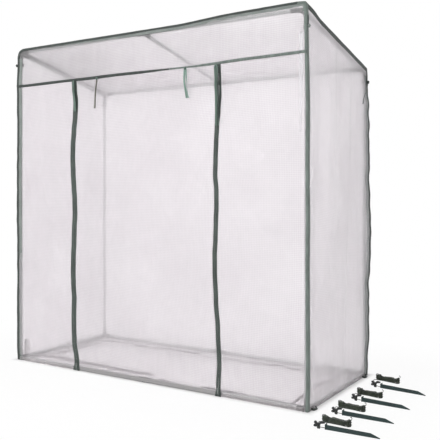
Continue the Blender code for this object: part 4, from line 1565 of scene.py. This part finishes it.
@dataclass
class Door:
    """The roll-up door between the zips, its tapes and the fixed halves of the zips."""

    shell: Shell
    lift: float = 1.55
    seam_reach: float = 0.012
    tape_thickness: float = 0.0011
    slit_half: float = 0.001
    tooth_pitch: float = 0.0030
    tooth_depth: float = 0.0023
    tooth_width: float = 0.0022
    tooth_round: float = 0.009
    parked: Pair = (0.30, 0.05)
    fixed_open: Pair = (0.06, 0.05)
    top_open: Pair = (1.53, 1.63)
    top_run: float = 0.03
    foot_height: float = 0.035
    foot_flare: float = 0.35
    foot_stand: float = 0.007
    edge_curl: float = 0.0012
    bottom: float = field(default_factory=lambda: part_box("door_film")[0].z)
    top: float = field(default_factory=lambda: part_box("door_film")[1].z)

    def gather(self, piece: bpy.types.Object) -> None:
        """Gives a piece of the door a mesh of its own.

        Args:
            piece: The piece.
        """
        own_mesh(piece)

    def build(self) -> None:
        """Makes the door film, the zip tapes and their teeth."""
        self.build_film()
        for line in (LEFT_ZIP, RIGHT_ZIP):
            for fixed in (True, False):
                self.build_tape(line, fixed)
                self.build_teeth(line, fixed)

    def build_film(self) -> None:
        """Makes the door film between its two tapes."""
        half = LEFT_ZIP.centre - self.seam_reach
        flat = (2 * half, self.top - self.bottom)
        drape = Drape(31.0, (3.2, 1.5), 0.005, fade=(0.04, 0.04, 0.04, 0.05), lean=-0.2)

        def place(u: float, v: float) -> Vector:
            """Gives a point of the wrinkled door.

            Args:
                u: Distance across it.
                v: Distance along it.

            Returns:
                The point.
            """
            z = self.bottom + v
            left = LEFT_ZIP.x(z) + LEFT_ZIP.centre - half
            right = RIGHT_ZIP.x(z) - RIGHT_ZIP.centre + half
            return Vector((mix(left, right, u / flat[0]), self.shell.front_y - drape.lift(u, v, flat), z))

        film = add_piece("door_panel", cut_grid("door_panel", flat, (0.014, 0.012), place), FILM)
        thicken(film, FILM_THICKNESS)
        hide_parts("door_film")
        self.gather(film)
        log.info("door film: %.3f x %.3f m", *flat)

    def build_tape(self, line: ZipLine, fixed: bool) -> None:
        """Makes one half of a zip's tape, on the fixed panel or on the door.

        Args:
            line: Course of the zip.
            fixed: Whether it is the half on the fixed panel.
        """
        low = self.shell.foot_z
        outward = line.side.value if fixed else -line.side.value
        width = line.tape_width
        flat = (width, self.top - low)
        back = self.shell.front_y + 0.0006

        def place(u: float, v: float) -> Vector:
            """Gives a point of the tape.

            Args:
                u: Distance across it.
                v: Distance along it.

            Returns:
                The point.
            """
            z = low + v
            foot = 1 - ease(z / self.foot_height)
            across = self.slit_half + (u if outward > 0 else width - u) * (1 + self.foot_flare * foot)
            curl = self.edge_curl * ease((across - 0.009) / 0.005) * max(0.0, wave(z * 9, outward))
            curl *= ease((z - 0.1) / 0.2)
            y = back - self.tape_thickness - curl - self.foot_stand * foot
            return Vector((line.x(z) + outward * across, y, z))

        word = "fixed" if fixed else "door"
        name = f"{line.side.word}_zip_{word}_tape"
        tape = add_piece(name, cut_grid(name, flat, (0.0033, 0.012), place), ZIP_TAPE)
        thicken(tape, self.tape_thickness)
        if fixed:
            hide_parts(f"{line.side.word}_zip")
        else:
            self.gather(tape)

    def build_teeth(self, line: ZipLine, fixed: bool) -> None:
        """Makes the row of coil teeth along one half of a zip.

        Args:
            line: Course of the zip.
            fixed: Whether it is the half on the fixed panel.
        """
        low = self.shell.foot_z if fixed else self.bottom
        outward = line.side.value if fixed else -line.side.value
        height = self.top - low
        around = self.tooth_round
        opened, run = self.fixed_open if fixed else self.parked
        back = self.shell.front_y - 0.0004

        def place(u: float, v: float) -> Vector:
            """Gives a point of the ribbed coil.

            Args:
                u: Distance round it.
                v: Distance along it.

            Returns:
                The point.
            """
            z = low + v
            angle = 2 * math.pi * u / around
            rib = 1.0 if round(2 * v / self.tooth_pitch) % 2 else 0.72
            open_low = 1 - ease((z - opened) / run)
            open_high = 0.0
            if fixed:
                closed = ease((z - self.top_open[1]) / self.top_run)
                open_high = ease((z - self.top_open[0]) / self.top_run) * (1 - closed)
            reach = mix(0.0001, self.slit_half + 0.0001, max(open_low, open_high))
            width = self.slit_half + self.tooth_width - reach
            x = reach + width / 2 - width / 2 * math.cos(angle) * (0.75 + 0.25 * rib)
            y = back - self.tooth_depth / 2 * (1 - math.sin(angle)) * rib * 0.8
            return Vector((line.x(z) + outward * x, y, z))

        name = f"{line.side.word}_zip_{'fixed' if fixed else 'door'}_teeth"
        mesh = cut_grid(name, (around, height), (around / 6, self.tooth_pitch / 2), place)
        weld(mesh)
        teeth = add_piece(name, mesh, COIL)
        if not fixed:
            self.gather(teeth)


@dataclass(frozen=True)
class Outline:
    """A folded binding or lining along the edge of an end face, between two stages of the outline.

    Its legs are its widths on the end face and on the wall or roof. Shares give stages, each with the
    share of the full width there.
    """

    name: str
    end: End
    stages: Pair
    finish: Finish
    legs: Pair
    lift: float = TAPE_LIFT
    shares: tuple[Pair, ...] = ((0.0, 1.0),)


OUTLINES = (
    Outline(
        "front_left_binding", End.FRONT, (0.0, 3.1), DARK_TAPE, (0.018, 0.010),
        shares=((1.0, 1.0), (2.0, 0.75), (2.5, 0.62)),
    ),
    # The linings are lighter copies of the binding tape along its inner edge: painted light.
    Outline("front_left_lining", End.FRONT, (0.0, 1.0), PAINTED_LIGHT_LINING_TAPE, (0.040, 0.0), LINING_LIFT),
    Outline(
        "front_top_lining", End.FRONT, (2.1, 3.8), PAINTED_LIGHT_LINING_TAPE, (0.025, 0.0), LINING_LIFT,
        shares=((2.1, 0.5), (2.45, 1.0)),
    ),
    # The right binding is in the lighter copy of the tape: painted light.
    Outline("front_right_binding", End.FRONT, (3.1, 5.0), PAINTED_LIGHT_TAPE, (0.0125, 0.0195)),
    Outline(
        "rear_binding", End.REAR, (0.0, 5.0), DARK_TAPE, (0.012, 0.018),
        shares=((3.0, 0.50), (4.0, 1.0)),
    ),
    # A dark strip that darkens the right wall at its rear edge: painted shade.
    Outline("rear_right_edge_shade", End.REAR, (4.0, 5.0), EDGE_SHADE_FILM, (0.0, 0.046), LINING_LIFT),
)


@dataclass
class Bindings:
    """Woven bindings sewn over the edges of the cover and along the header seam."""

    shell: Shell
    leg: float = 0.012
    lift: float = TAPE_LIFT
    thickness: float = 0.0008
    left_seam: Pair = (0.016, 0.009)
    right_seam: Pair = (0.023, 0.009)

    def build(self) -> None:
        """Makes the bindings of both end faces, both roof seams and the header."""
        for outline in OUTLINES:
            self.build_outline(outline)
        for side in Side:
            self.build_roof_seam(side)
        self.build_trim("header_trim_left", (0.0, 0.59), (0.0165, 0.0080), DARK_TAPE)
        # The right part of the trim is in the lighter copy of the tape: painted light.
        self.build_trim("header_trim_right", (0.59, 1.0), (0.0080, 0.0145), PAINTED_LIGHT_TAPE)

    def build_outline(self, outline: Outline) -> None:
        """Makes a folded binding along the edge of an end face.

        Args:
            outline: Course and sizes of the binding.
        """
        end, legs, lift = outline.end, outline.legs, outline.lift
        shell = self.shell
        y = shell.end_y(end)
        ends = np.cumsum([0.0, *shell.stage_lengths(y)])
        first, last = (float(np.interp(stage, range(6), ends)) for stage in outline.stages)

        def place(u: float, v: float) -> Vector:
            """Gives a point of the folded binding.

            Args:
                u: Distance across it.
                v: Distance along it.

            Returns:
                The point.
            """
            walked = first + v if end is End.FRONT else last - v
            stage = shell.stage_at(walked, y)
            narrowed = float(np.interp(stage, *zip(*outline.shares)))
            across = (u - legs[0]) * narrowed
            across += 0.0012 * wave(v * 5, end.value) + 0.0006 * wave(v * 21, end.value + 3)
            out = shell.outward(stage)
            if across < 0:
                point = shell.at(stage, y, 0.0) + out * (across + lift)
                point.y = y + end.value * lift
            else:
                point = shell.at(stage, y - end.value * (across - lift), lift)
            return point + shell.swing(point)

        mesh = cut_grid(outline.name, (sum(legs), last - first), (self.leg / 4, 0.010), place)
        slot = "film" if isinstance(outline.finish, ClearFilm) else "hem_tape"
        thicken(add_piece(outline.name, mesh, outline.finish), self.thickness)

    def build_roof_seam(self, side: Side) -> None:
        """Makes the binding over the seam between the roof and a side film.

        Args:
            side: Side of the greenhouse.
        """
        shell = self.shell
        bend = shell.stage_lengths(0.0)[1]
        length = shell.rear_y - shell.front_y
        legs = self.left_seam if side is Side.LEFT else self.right_seam

        def place(u: float, v: float) -> Vector:
            """Gives a point of the seam's binding.

            Args:
                u: Distance across it.
                v: Distance along it.

            Returns:
                The point.
            """
            down = legs[1] - u if side is Side.LEFT else u - legs[1]
            down += 0.0015 * wave(v * 6, side.value)
            stage = 1.5 - down / bend if side is Side.LEFT else 3.5 + down / bend
            lift = 0.0009 + 0.0006 * max(0.0, wave(v * 11, side.value + 2))
            point = shell.at(stage, shell.front_y + v, lift)
            return point + shell.swing(point)

        name = f"{side.word}_roof_seam"
        mesh = cut_grid(name, (sum(legs), length), (self.leg / 5, 0.010), place)
        thicken(add_piece(name, mesh, DARK_TAPE), self.thickness)

    def build_trim(self, name: str, shares: Pair, widths: Pair, finish: Finish) -> None:
        """Makes a stretch of the tape along the header seam, turned out of the seam where it is narrow.

        Args:
            name: Name of the tape.
            shares: Where it starts and ends, as shares of the header's length.
            widths: Its width at both ends.
            finish: Its finish.
        """
        shell = self.shell
        length = 2 * shell.half_width
        start, end = (share * length for share in shares)

        def place(u: float, v: float) -> Vector:
            """Gives a point of the header's tape.

            Args:
                u: Distance along it.
                v: Distance across it.

            Returns:
                The point.
            """
            share = u / (end - start)
            full = ease(share * 1.8) if widths[0] < widths[1] else ease(share * 4 - 3)
            width = mix(*widths, full) + 0.0012 * wave((start + u) * 7, 2.0)
            risen = 0.007 * ease((start + u - shell.half_width - 0.3) / 0.65)
            middle = shell.seam_z + 0.001 + risen + 0.0016 * wave((start + u) * 3.4, 6.0)
            across = (v / self.leg - 0.5) * width
            stand = self.lift + 0.0016 * (0.5 + v / self.leg)
            point = Vector((start + u - shell.half_width, shell.front_y - stand, middle + across))
            return point + shell.swing(point)

        mesh = cut_grid(name, (end - start, self.leg), (0.012, self.leg / 4), place)
        thicken(add_piece(name, mesh, finish), self.thickness)


# Ties, knots and peg loops


def knot_mesh(name: str, centre: Vector, size: Triple, seed: float) -> bpy.types.Mesh:
    """Winds a small pulled-tight knot, grooved where the ribbon crosses itself.

    Args:
        name: Name of the mesh.
        centre: Middle of the knot.
        size: Size along each axis.
        seed: Turns the grooves.

    Returns:
        The closed mesh.
    """
    around = math.pi * (size[0] + size[1]) / 2

    def place(along: float, about: float) -> Vector:
        """Gives a point of the knot.

        Args:
            along: Distance along its height.
            about: Distance round it.

        Returns:
            The point.
        """
        share = along / size[2]
        angle = 2 * math.pi * about / around
        full = math.sin(math.pi * (0.07 + 0.86 * share)) ** 0.5
        groove = 1 - 0.20 * abs(math.sin(math.pi * 1.5 * share + angle + seed))
        radius = full * groove / 2
        x, y = math.cos(angle) * size[0] * radius, math.sin(angle) * size[1] * radius
        return centre + Vector((x, y, along - size[2] / 2))

    mesh = cut_grid(name, (size[2], around), (size[2] / 10, around / 18), place)
    weld(mesh)
    return mesh


@dataclass
class HangingTie:
    """A ribbon folded over in the header seam, whose two strands hang in front of the door."""

    name: str
    top: Pair
    end: Pair
    finish: Finish
    width: float = 0.012
    spread: float = 0.003
    turn: float = 0.5
    stand: float = 0.0115
    bow: float = 0.0
    knotted: bool = True
    knot_size: Triple = (0.016, 0.010, 0.016)
    knot_stand: float = 0.004
    knot_drop: float = 0.008

    def build(self, shell: Shell) -> None:
        """Makes the ribbon and its knot.

        Args:
            shell: Shape of the cover.
        """
        length = math.dist(self.top, self.end)
        flat = (self.width, 2 * length)

        def place(u: float, v: float) -> Vector:
            """Gives a point of the folded ribbon.

            Args:
                u: Distance across it.
                v: Distance along it.

            Returns:
                The point.
            """
            down = abs(v - length)
            strand = 1 if v > length else -1
            share = down / length
            apart = ease(down / 0.02)
            sway = 0.003 * wave(down * 14, self.top[0] * 9 + strand) * ease(share * 3)
            x = mix(self.top[0], self.end[0], share) + strand * self.spread * apart + sway
            x -= self.bow * math.sin(math.pi * share)
            turn = self.turn * strand + 0.7 * wave(down * 9, strand * 3.3, self.top[0]) * ease(share * 2)
            across = (u - self.width / 2) * (1 if strand > 0 else -1)
            depth = shell.front_y - self.stand - strand * 0.0020 * apart - 0.003 * share
            z = mix(self.top[1], self.end[1], share)
            return Vector((x + across * math.cos(turn), depth - across * math.sin(turn) * apart, z))

        mesh = cut_grid(self.name, flat, (0.003, 0.007), place)
        ribbon = add_piece(self.name, mesh, self.finish)
        thicken(ribbon, RIBBON_THICKNESS, 0.0)
        if self.knotted:
            depth = shell.front_y - self.stand - self.knot_stand
            middle = Vector((self.top[0], depth, self.top[1] - self.knot_drop))
            knot = knot_mesh(f"{self.name}_knot", middle, self.knot_size, self.top[0])
            add_piece(f"{self.name}_knot", knot, DARK_RIBBON)
        log.info("%s: %.3f x %.3f m", self.name, *flat)


@dataclass
class PostTie:
    """A ribbon tied round a corner post inside the cover, stitched through it at a bobble outside.

    The front and rear bobble give how far it stands out of the side wall and in from the end face.
    """

    side: Side
    end: End
    height: float
    tail: float = 0.0
    bobble: Finish = DARK_TAPE
    band: float = 0.011
    radius: float = 0.0099
    knot_size: Triple = (0.014, 0.012, 0.019)
    knot_place: Triple = (0.0145, 0.006, 0.001)
    bobble_size: Triple = (0.016, 0.015, 0.017)
    front_bobble: Pair = (0.0120, 0.003)
    rear_bobble: Pair = (0.0085, 0.010)
    tail_width: float = 0.010

    def build(self, shell: Shell) -> None:
        """Makes the band round the post, its knot, its bobble and its loose tail.

        Args:
            shell: Shape of the cover.
        """
        name = f"{self.end.word}_{self.side.word}_post_tie"
        rail = shell.front_rail if self.end is End.FRONT else shell.rear_rail
        post = Vector((self.side.value * shell.post_x, rail.y, self.height))
        radius = self.radius

        def ring(u: float, v: float) -> Vector:
            """Gives a point of the band round the post.

            Args:
                u: Distance across it.
                v: Distance along it.

            Returns:
                The point.
            """
            angle = v / radius
            height = u - self.band / 2 + 0.0025 * math.sin(angle + 0.7)
            return post + Vector((math.cos(angle) * radius, math.sin(angle) * radius, height))

        mesh = cut_grid(name, (self.band, 2 * math.pi * radius), (0.0028, radius * math.pi / 12), ring)
        weld(mesh, ends=False)
        thicken(add_piece(name, mesh, GREY_RIBBON), RIBBON_THICKNESS, 1.0)
        aside, ahead, above = self.knot_place
        inner = post + Vector((-self.side.value * aside, -self.end.value * ahead, above))
        knot = knot_mesh(f"{name}_knot", inner, self.knot_size, self.height)
        add_piece(f"{name}_knot", knot, GREY_RIBBON)
        out, deep = self.front_bobble if self.end is End.FRONT else self.rear_bobble
        y = shell.end_y(self.end) - self.end.value * deep
        corner = Vector((self.side.value * (shell.half_width + out), y, self.height))
        corner += shell.swing(corner)
        bobble = knot_mesh(f"{name}_bobble", corner, self.bobble_size, self.height + 1)
        add_piece(f"{name}_bobble", bobble, self.bobble)
        if self.tail:
            self.build_tail(name, corner, shell)

    def build_tail(self, name: str, start: Vector, shell: Shell) -> None:
        """Makes the loose tail that hangs from the bobble.

        Args:
            name: Name of the tie.
            start: Middle of the bobble.
            shell: Shape of the cover.
        """
        flat = (self.tail_width, self.tail)

        def place(u: float, v: float) -> Vector:
            """Gives a point of the tail.

            Args:
                u: Distance across it.
                v: Distance along it.

            Returns:
                The point.
            """
            share = v / flat[1]
            turn = mix(0.15, 0.9, ease(share)) + 0.5 * wave(v * 14, self.height)
            forward = -0.085 * ease(share) + (u - flat[0] / 2) * math.cos(turn)
            out = 0.006 + 0.003 * ease(share) + abs((u - flat[0] / 2) * math.sin(turn))
            y = start.y - self.end.value * 0.004 + self.end.value * forward
            x = self.side.value * (shell.half_width + out)
            return Vector((x, y, start.z - 0.004 - v * 0.86))

        mesh = cut_grid(name, flat, (0.0025, 0.006), place)
        tail = add_piece(f"{name}_tail", mesh, GREY_RIBBON)
        thicken(tail, RIBBON_THICKNESS, 0.0)


@dataclass
class PegLoop:
    """A webbing loop for a peg, sewn to the foot of a side film and lying on the ground."""

    side: Side
    middle: float
    reach: float = 0.019
    half: float = 0.024
    width: float = 0.012
    thickness: float = 0.0010
    stand: float = 0.0010

    def build(self, shell: Shell) -> None:
        """Makes the loop.

        Args:
            shell: Shape of the cover.
        """
        foot = shell.half_width + self.stand
        bend = self.reach * 0.8
        profile = (
            (0.0, -1.0, 0.0060), (0.006, -1.0, 0.0022), (bend, -0.82, 0.0012), (self.reach, -0.3, 0.0012),
            (self.reach, 0.3, 0.0016), (bend, 0.82, 0.0012), (0.006, 1.0, 0.0022), (0.0, 1.0, 0.0060),
        )
        run = smooth_line([Vector((out, along * self.half, z)) for out, along, z in profile], 0.003)
        flat = (self.width, line_length(run))

        def place(u: float, v: float) -> Vector:
            """Gives a point of the loop, whose webbing leans a little on its edge.

            Args:
                u: Distance across it.
                v: Distance along it.

            Returns:
                The point.
            """
            spot = min(v / flat[1], 1.0) * (len(run) - 1)
            index = min(int(spot), len(run) - 2)
            point = run[index].lerp(run[index + 1], spot - index)
            along = (run[index + 1] - run[index]).normalized()
            inward = Vector((-along.y, along.x, 0.0)).normalized()
            lean = ease(min(v, flat[1] - v) / 0.02)
            point = point + inward * (u * mix(0.2, 0.55, lean)) + Vector((0, 0, u * 0.75))
            return Vector((self.side.value * (foot + max(0.0, point.x)), self.middle + point.y, point.z))

        name = f"{self.side.word}_peg_loop_{'front' if self.middle < 0.4 else 'rear'}"
        loop = add_piece(name, cut_grid(name, flat, (0.0025, 0.004), place), DARK_TAPE)
        thicken(loop, self.thickness, 0.0)


# Films that are loose or doubled


@dataclass(frozen=True)
class GroundStrip:
    """A strip of ground film from its wavy free edge to a wall, between two places along that wall.

    Side tells whether it is a side wall, ripple how far the free edge wanders, and height how high the
    film lies over the ground.
    """

    name: str
    free: float
    wall: float
    start: float
    stop: float
    side: bool
    ripple: float
    height: float


@dataclass
class Trimmings:
    """The ground film inside, the doubled foot of the walls, the folded tab, and a near-white strip beside
    the front right corner that is a painted highlight.
    """

    shell: Shell
    hub_half: float = 0.0145
    coupler_half: float = 0.017
    wall_gap: float = 0.002
    strip_gap: float = 0.024
    front_depths: Pair = (0.120, 0.050)
    rear_depths: Pair = (0.125, 0.125)
    side_depth: float = 0.115
    end_ripple: float = 0.019
    side_ripple: float = 0.022
    end_height: float = 0.0016
    side_height: float = 0.0008
    foot_height: float = 0.022
    foot_thickness: float = 0.0004
    foot_stand: float = 0.0009
    foot_inset: float = 0.012
    left_binding: float = 0.018
    right_binding: float = 0.019
    zip_gap: float = 0.020
    fold: Pair = (0.024, 0.468)
    highlight_foot: float = 1.335
    tab: Pair = (0.034, 0.215)
    tab_foot: float = 0.024

    def build(self) -> None:
        """Makes the ground films, the feet of the walls, the painted highlight strip and the folded tab."""
        self.build_ground()
        self.build_feet()
        self.build_fold_highlight()
        self.build_tab()

    def build_ground(self) -> None:
        """Lays the six strips of ground film under the sill tubes, clear of their corners and couplers."""
        shell = self.shell
        outer = shell.post_x - self.hub_half
        rear = shell.rear_rail.y
        depths = {End.FRONT: self.front_depths, End.REAR: self.rear_depths}
        for end, pair in depths.items():
            wall = self.wall_gap if end is End.FRONT else rear - self.wall_gap
            for side, depth in zip(Side, pair):
                start, stop = sorted((side.value * self.coupler_half, side.value * outer))
                name = f"ground_film_{end.word}_{side.word}"
                free = wall - end.value * depth
                ripple, height = self.end_ripple, self.end_height
                self.lay_strip(GroundStrip(name, free, wall, start, stop, False, ripple, height))
        for side, front_depth, rear_depth in zip(Side, *depths.values()):
            wall = side.value * (shell.post_x - self.wall_gap)
            start, stop = front_depth + self.strip_gap, rear - rear_depth - self.strip_gap
            name = f"ground_film_{side.word}"
            free = wall - side.value * self.side_depth
            ripple, height = self.side_ripple, self.side_height
            self.lay_strip(GroundStrip(name, free, wall, start, stop, True, ripple, height))

    def lay_strip(self, strip: GroundStrip) -> None:
        """Lays one strip of ground film, from its wavy free edge to the wall.

        Args:
            strip: Place of the strip.
        """
        name, side = strip.name, strip.side
        free, wall, start, stop = strip.free, strip.wall, strip.start, strip.stop
        flat = (abs(wall - free), stop - start)
        turned = (wall > free) == side
        seed = wall * 7 + start * 3

        def place(u: float, v: float) -> Vector:
            """Gives a point of the strip.

            Args:
                u: Distance across it.
                v: Distance along it.

            Returns:
                The point.
            """
            share = u / flat[0]
            along = start + v if turned else stop - v
            loose = 1 - ease(share * 1.3)
            wander = strip.ripple * loose * (wave(along * 4.5, seed) + 0.45 * wave(along * 13, seed + 4))
            fade = ease((along - start) / 0.08) * ease((stop - along) / 0.08)
            across = mix(free, wall, share) + wander * fade
            lifted = max(0.0, wave(along * 9, share * 2.0, seed)) * 0.010 * ease((0.62 - share) / 0.4) * fade
            lifted += 0.010 * ease(1 - u / 0.012) * fade
            place_x, place_y = (across, along) if side else (along, across)
            return Vector((place_x, place_y, strip.height + lifted))

        film = add_piece(name, cut_grid(name, flat, (flat[0] / 10, 0.010), place), GROUND_FILM)
        thicken(film, LOOSE_FILM_THICKNESS)
        log.info("%s: %.3f x %.3f m", name, *flat)

    def build_feet(self) -> None:
        """Makes the doubled strip along the foot of each wall."""
        shell = self.shell
        gap = RIGHT_ZIP.centre + self.zip_gap
        front = shell.front_y - self.foot_stand
        rear = shell.rear_y + self.foot_stand
        wall = shell.half_width + self.foot_stand
        half = shell.half_width - self.foot_inset
        low, high = shell.front_y + self.foot_inset, shell.rear_y - self.foot_inset
        outer_left = -shell.half_width + self.left_binding
        outer_right = shell.half_width - self.right_binding
        for name, start, stop, finish in (
            ("front_left_foot", (outer_left, front), (-gap, front), DOUBLED_FILM),
            ("front_right_foot", (gap, front), (outer_right, front), DOUBLED_FILM),
            ("right_foot", (wall, low), (wall, high), SIDE_FOOT),
            ("rear_foot", (half, rear), (-half, rear), SIDE_FOOT),
            ("left_foot", (-wall, high), (-wall, low), SIDE_FOOT),
        ):
            self.build_foot(name, Vector((*start, 0)), Vector((*stop, 0)), finish)

    def build_foot(self, name: str, start: Vector, stop: Vector, finish: Finish) -> None:
        """Makes the doubled, welded strip along the foot of one wall.

        Args:
            name: Name of the strip.
            start: Its start on the ground, left when seen from outside.
            stop: Its other end.
            finish: Its finish.
        """
        flat = ((stop - start).length, self.foot_height)
        along = (stop - start).normalized()
        out = along.cross(Vector((0, 0, 1)))

        def place(u: float, v: float) -> Vector:
            """Gives a point of the strip.

            Args:
                u: Distance along the wall.
                v: Height on the wall.

            Returns:
                The point.
            """
            ruffle = 0.0008 * max(0.0, wave(u * 22, start.x * 3, v * 30)) * ease(v / 0.008)
            height = 0.0006 + v + 0.0012 * wave(u * 6, start.y) * v / flat[1]
            return start + along * u + out * ruffle + Vector((0, 0, height))

        foot = add_piece(name, cut_grid(name, flat, (0.014, 0.0055), place), finish)
        thicken(foot, self.foot_thickness)

    def build_fold_highlight(self) -> None:
        """Makes a folded strip of near-white film beside the front right corner: a painted highlight for the
        film's reflection there.
        """
        shell = self.shell
        flat = self.fold

        def pleat(u: float, v: float) -> Vector:
            """Gives a point of the painted highlight strip.

            Args:
                u: Distance across it.
                v: Distance along it.

            Returns:
                The point.
            """
            share = v / flat[1]
            narrow = mix(0.45, 1.0, ease(share * 1.6)) * (1 + 0.12 * wave(v * 12, 4.0))
            x = shell.half_width - 0.034 + (u - flat[0] / 2) * narrow - 0.004 * ease(1 - share)
            bulge = 0.0030 * math.sin(math.pi * u / flat[0]) + 0.0012
            return Vector((x, shell.front_y - bulge, self.highlight_foot + v))

        mesh = cut_grid("corner_fold_highlight", flat, (0.003, 0.012), pleat)
        # The strip's near-white film is a painted highlight.
        fold = add_piece("corner_fold_highlight", mesh, HIGHLIGHT_FILM)
        thicken(fold, LOOSE_FILM_THICKNESS)

    def build_tab(self) -> None:
        """Makes the folded tab at the front left foot."""
        shell, tab = self.shell, self.tab

        def folded(u: float, v: float) -> Vector:
            """Gives a point of the folded tab.

            Args:
                u: Distance across it.
                v: Distance along it.

            Returns:
                The point.
            """
            share = v / tab[1]
            angle = math.pi * min(1.0, max(0.0, (share - 0.44) / 0.12))
            up = self.tab_foot + tab[1] * min(share, 0.44) + 0.008 * math.sin(angle)
            if share > 0.56:
                up = self.tab_foot + tab[1] * (1 - share)
            out = 0.0045 * (1 - math.cos(angle)) / 2
            turn = 0.25 + 0.3 * wave(v * 8, 2.0)
            across = u - tab[0] / 2
            x = -shell.post_x + 0.036 + across * math.cos(turn)
            return Vector((x, 0.016 + across * math.sin(turn) + out, up))

        mesh = cut_grid("folded_tab", tab, (0.004, 0.005), folded)
        loose = add_piece("folded_tab", mesh, TAB_FILM)
        thicken(loose, LOOSE_FILM_THICKNESS)


# Pieces of the model that stay, in better finishes


@dataclass
class CarriedNodes:
    """Finishes of the pieces that the model itself shows, by a word in their names."""

    finishes: tuple[tuple[str, Finish], ...] = (
        ("post", TUBE_COAT),
        ("tube", TUBE_COAT),
        ("rafter", TUBE_COAT),
        ("sill_corner", CONNECTOR),
        ("sill_coupler", CONNECTOR),
        ("elbow", CONNECTOR),
        ("eave_tee", CONNECTOR),
        ("door_hem", PALE_HEM),
        ("slider", SLIDER),
        ("pull", SLIDER),
        ("peg_", PEG_PLASTIC),
        ("tensioner_", TENSIONER),
    )

    def build(self) -> None:
        """Gives each node that shows its finish."""
        dressed = 0
        for name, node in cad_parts.items():
            if node.hide_render:
                continue
            finish = next((finish for word, finish in self.finishes if word in name), None)
            if finish is None:
                raise ValueError(f"node {name} has no finish")
            for slot in node.material_slots:
                slot.material = finish.material()
            dressed += 1
        log.info("nodes of the model in new finishes: %d", dressed)


# Ties and loops, and the order of the work


TIES = (
    HangingTie(
        "left_door_tie", (-0.323, 1.700), (-0.342, 1.523), PALE_RIBBON,
        width=0.010, spread=0.0020, turn=1.05,
    ),
    HangingTie(
        "right_door_tie", (0.292, 1.700), (0.308, 1.535), MINT_RIBBON,
        width=0.011, spread=0.0072, turn=0.25, bow=0.007,
    ),
    HangingTie("zip_side_tie", (0.482, 1.700), (0.493, 1.380), DARK_RIBBON, spread=0.0075, knotted=False),
    HangingTie("zip_end_tie", (-0.508, 1.700), (-0.493, 1.514), DARK_RIBBON, knotted=False),
    PostTie(Side.LEFT, End.FRONT, 1.833),
    # Its bobble is in the lighter copy of the tape: painted light.
    PostTie(Side.RIGHT, End.FRONT, 1.828, bobble=PAINTED_LIGHT_LINING_TAPE),
    PostTie(Side.LEFT, End.REAR, 1.668),
    PostTie(Side.RIGHT, End.REAR, 1.668, tail=0.150),
    *(PegLoop(side, middle) for side in Side for middle in (0.045, 0.725)),
)


def main() -> None:
    """Builds the looks around the frame, piece by piece."""
    logging.basicConfig(level=logging.INFO, format="%(message)s")
    PhotoCamera().build()
    Studio().build()
    GuyRopes().build()
    shell = Shell()
    Cover(shell).build()
    Door(shell).build()
    Bindings(shell).build()
    Trimmings(shell).build()
    for tie in TIES:
        tie.build(shell)
    CarriedNodes().build()


if __name__ == "__main__":
    main()
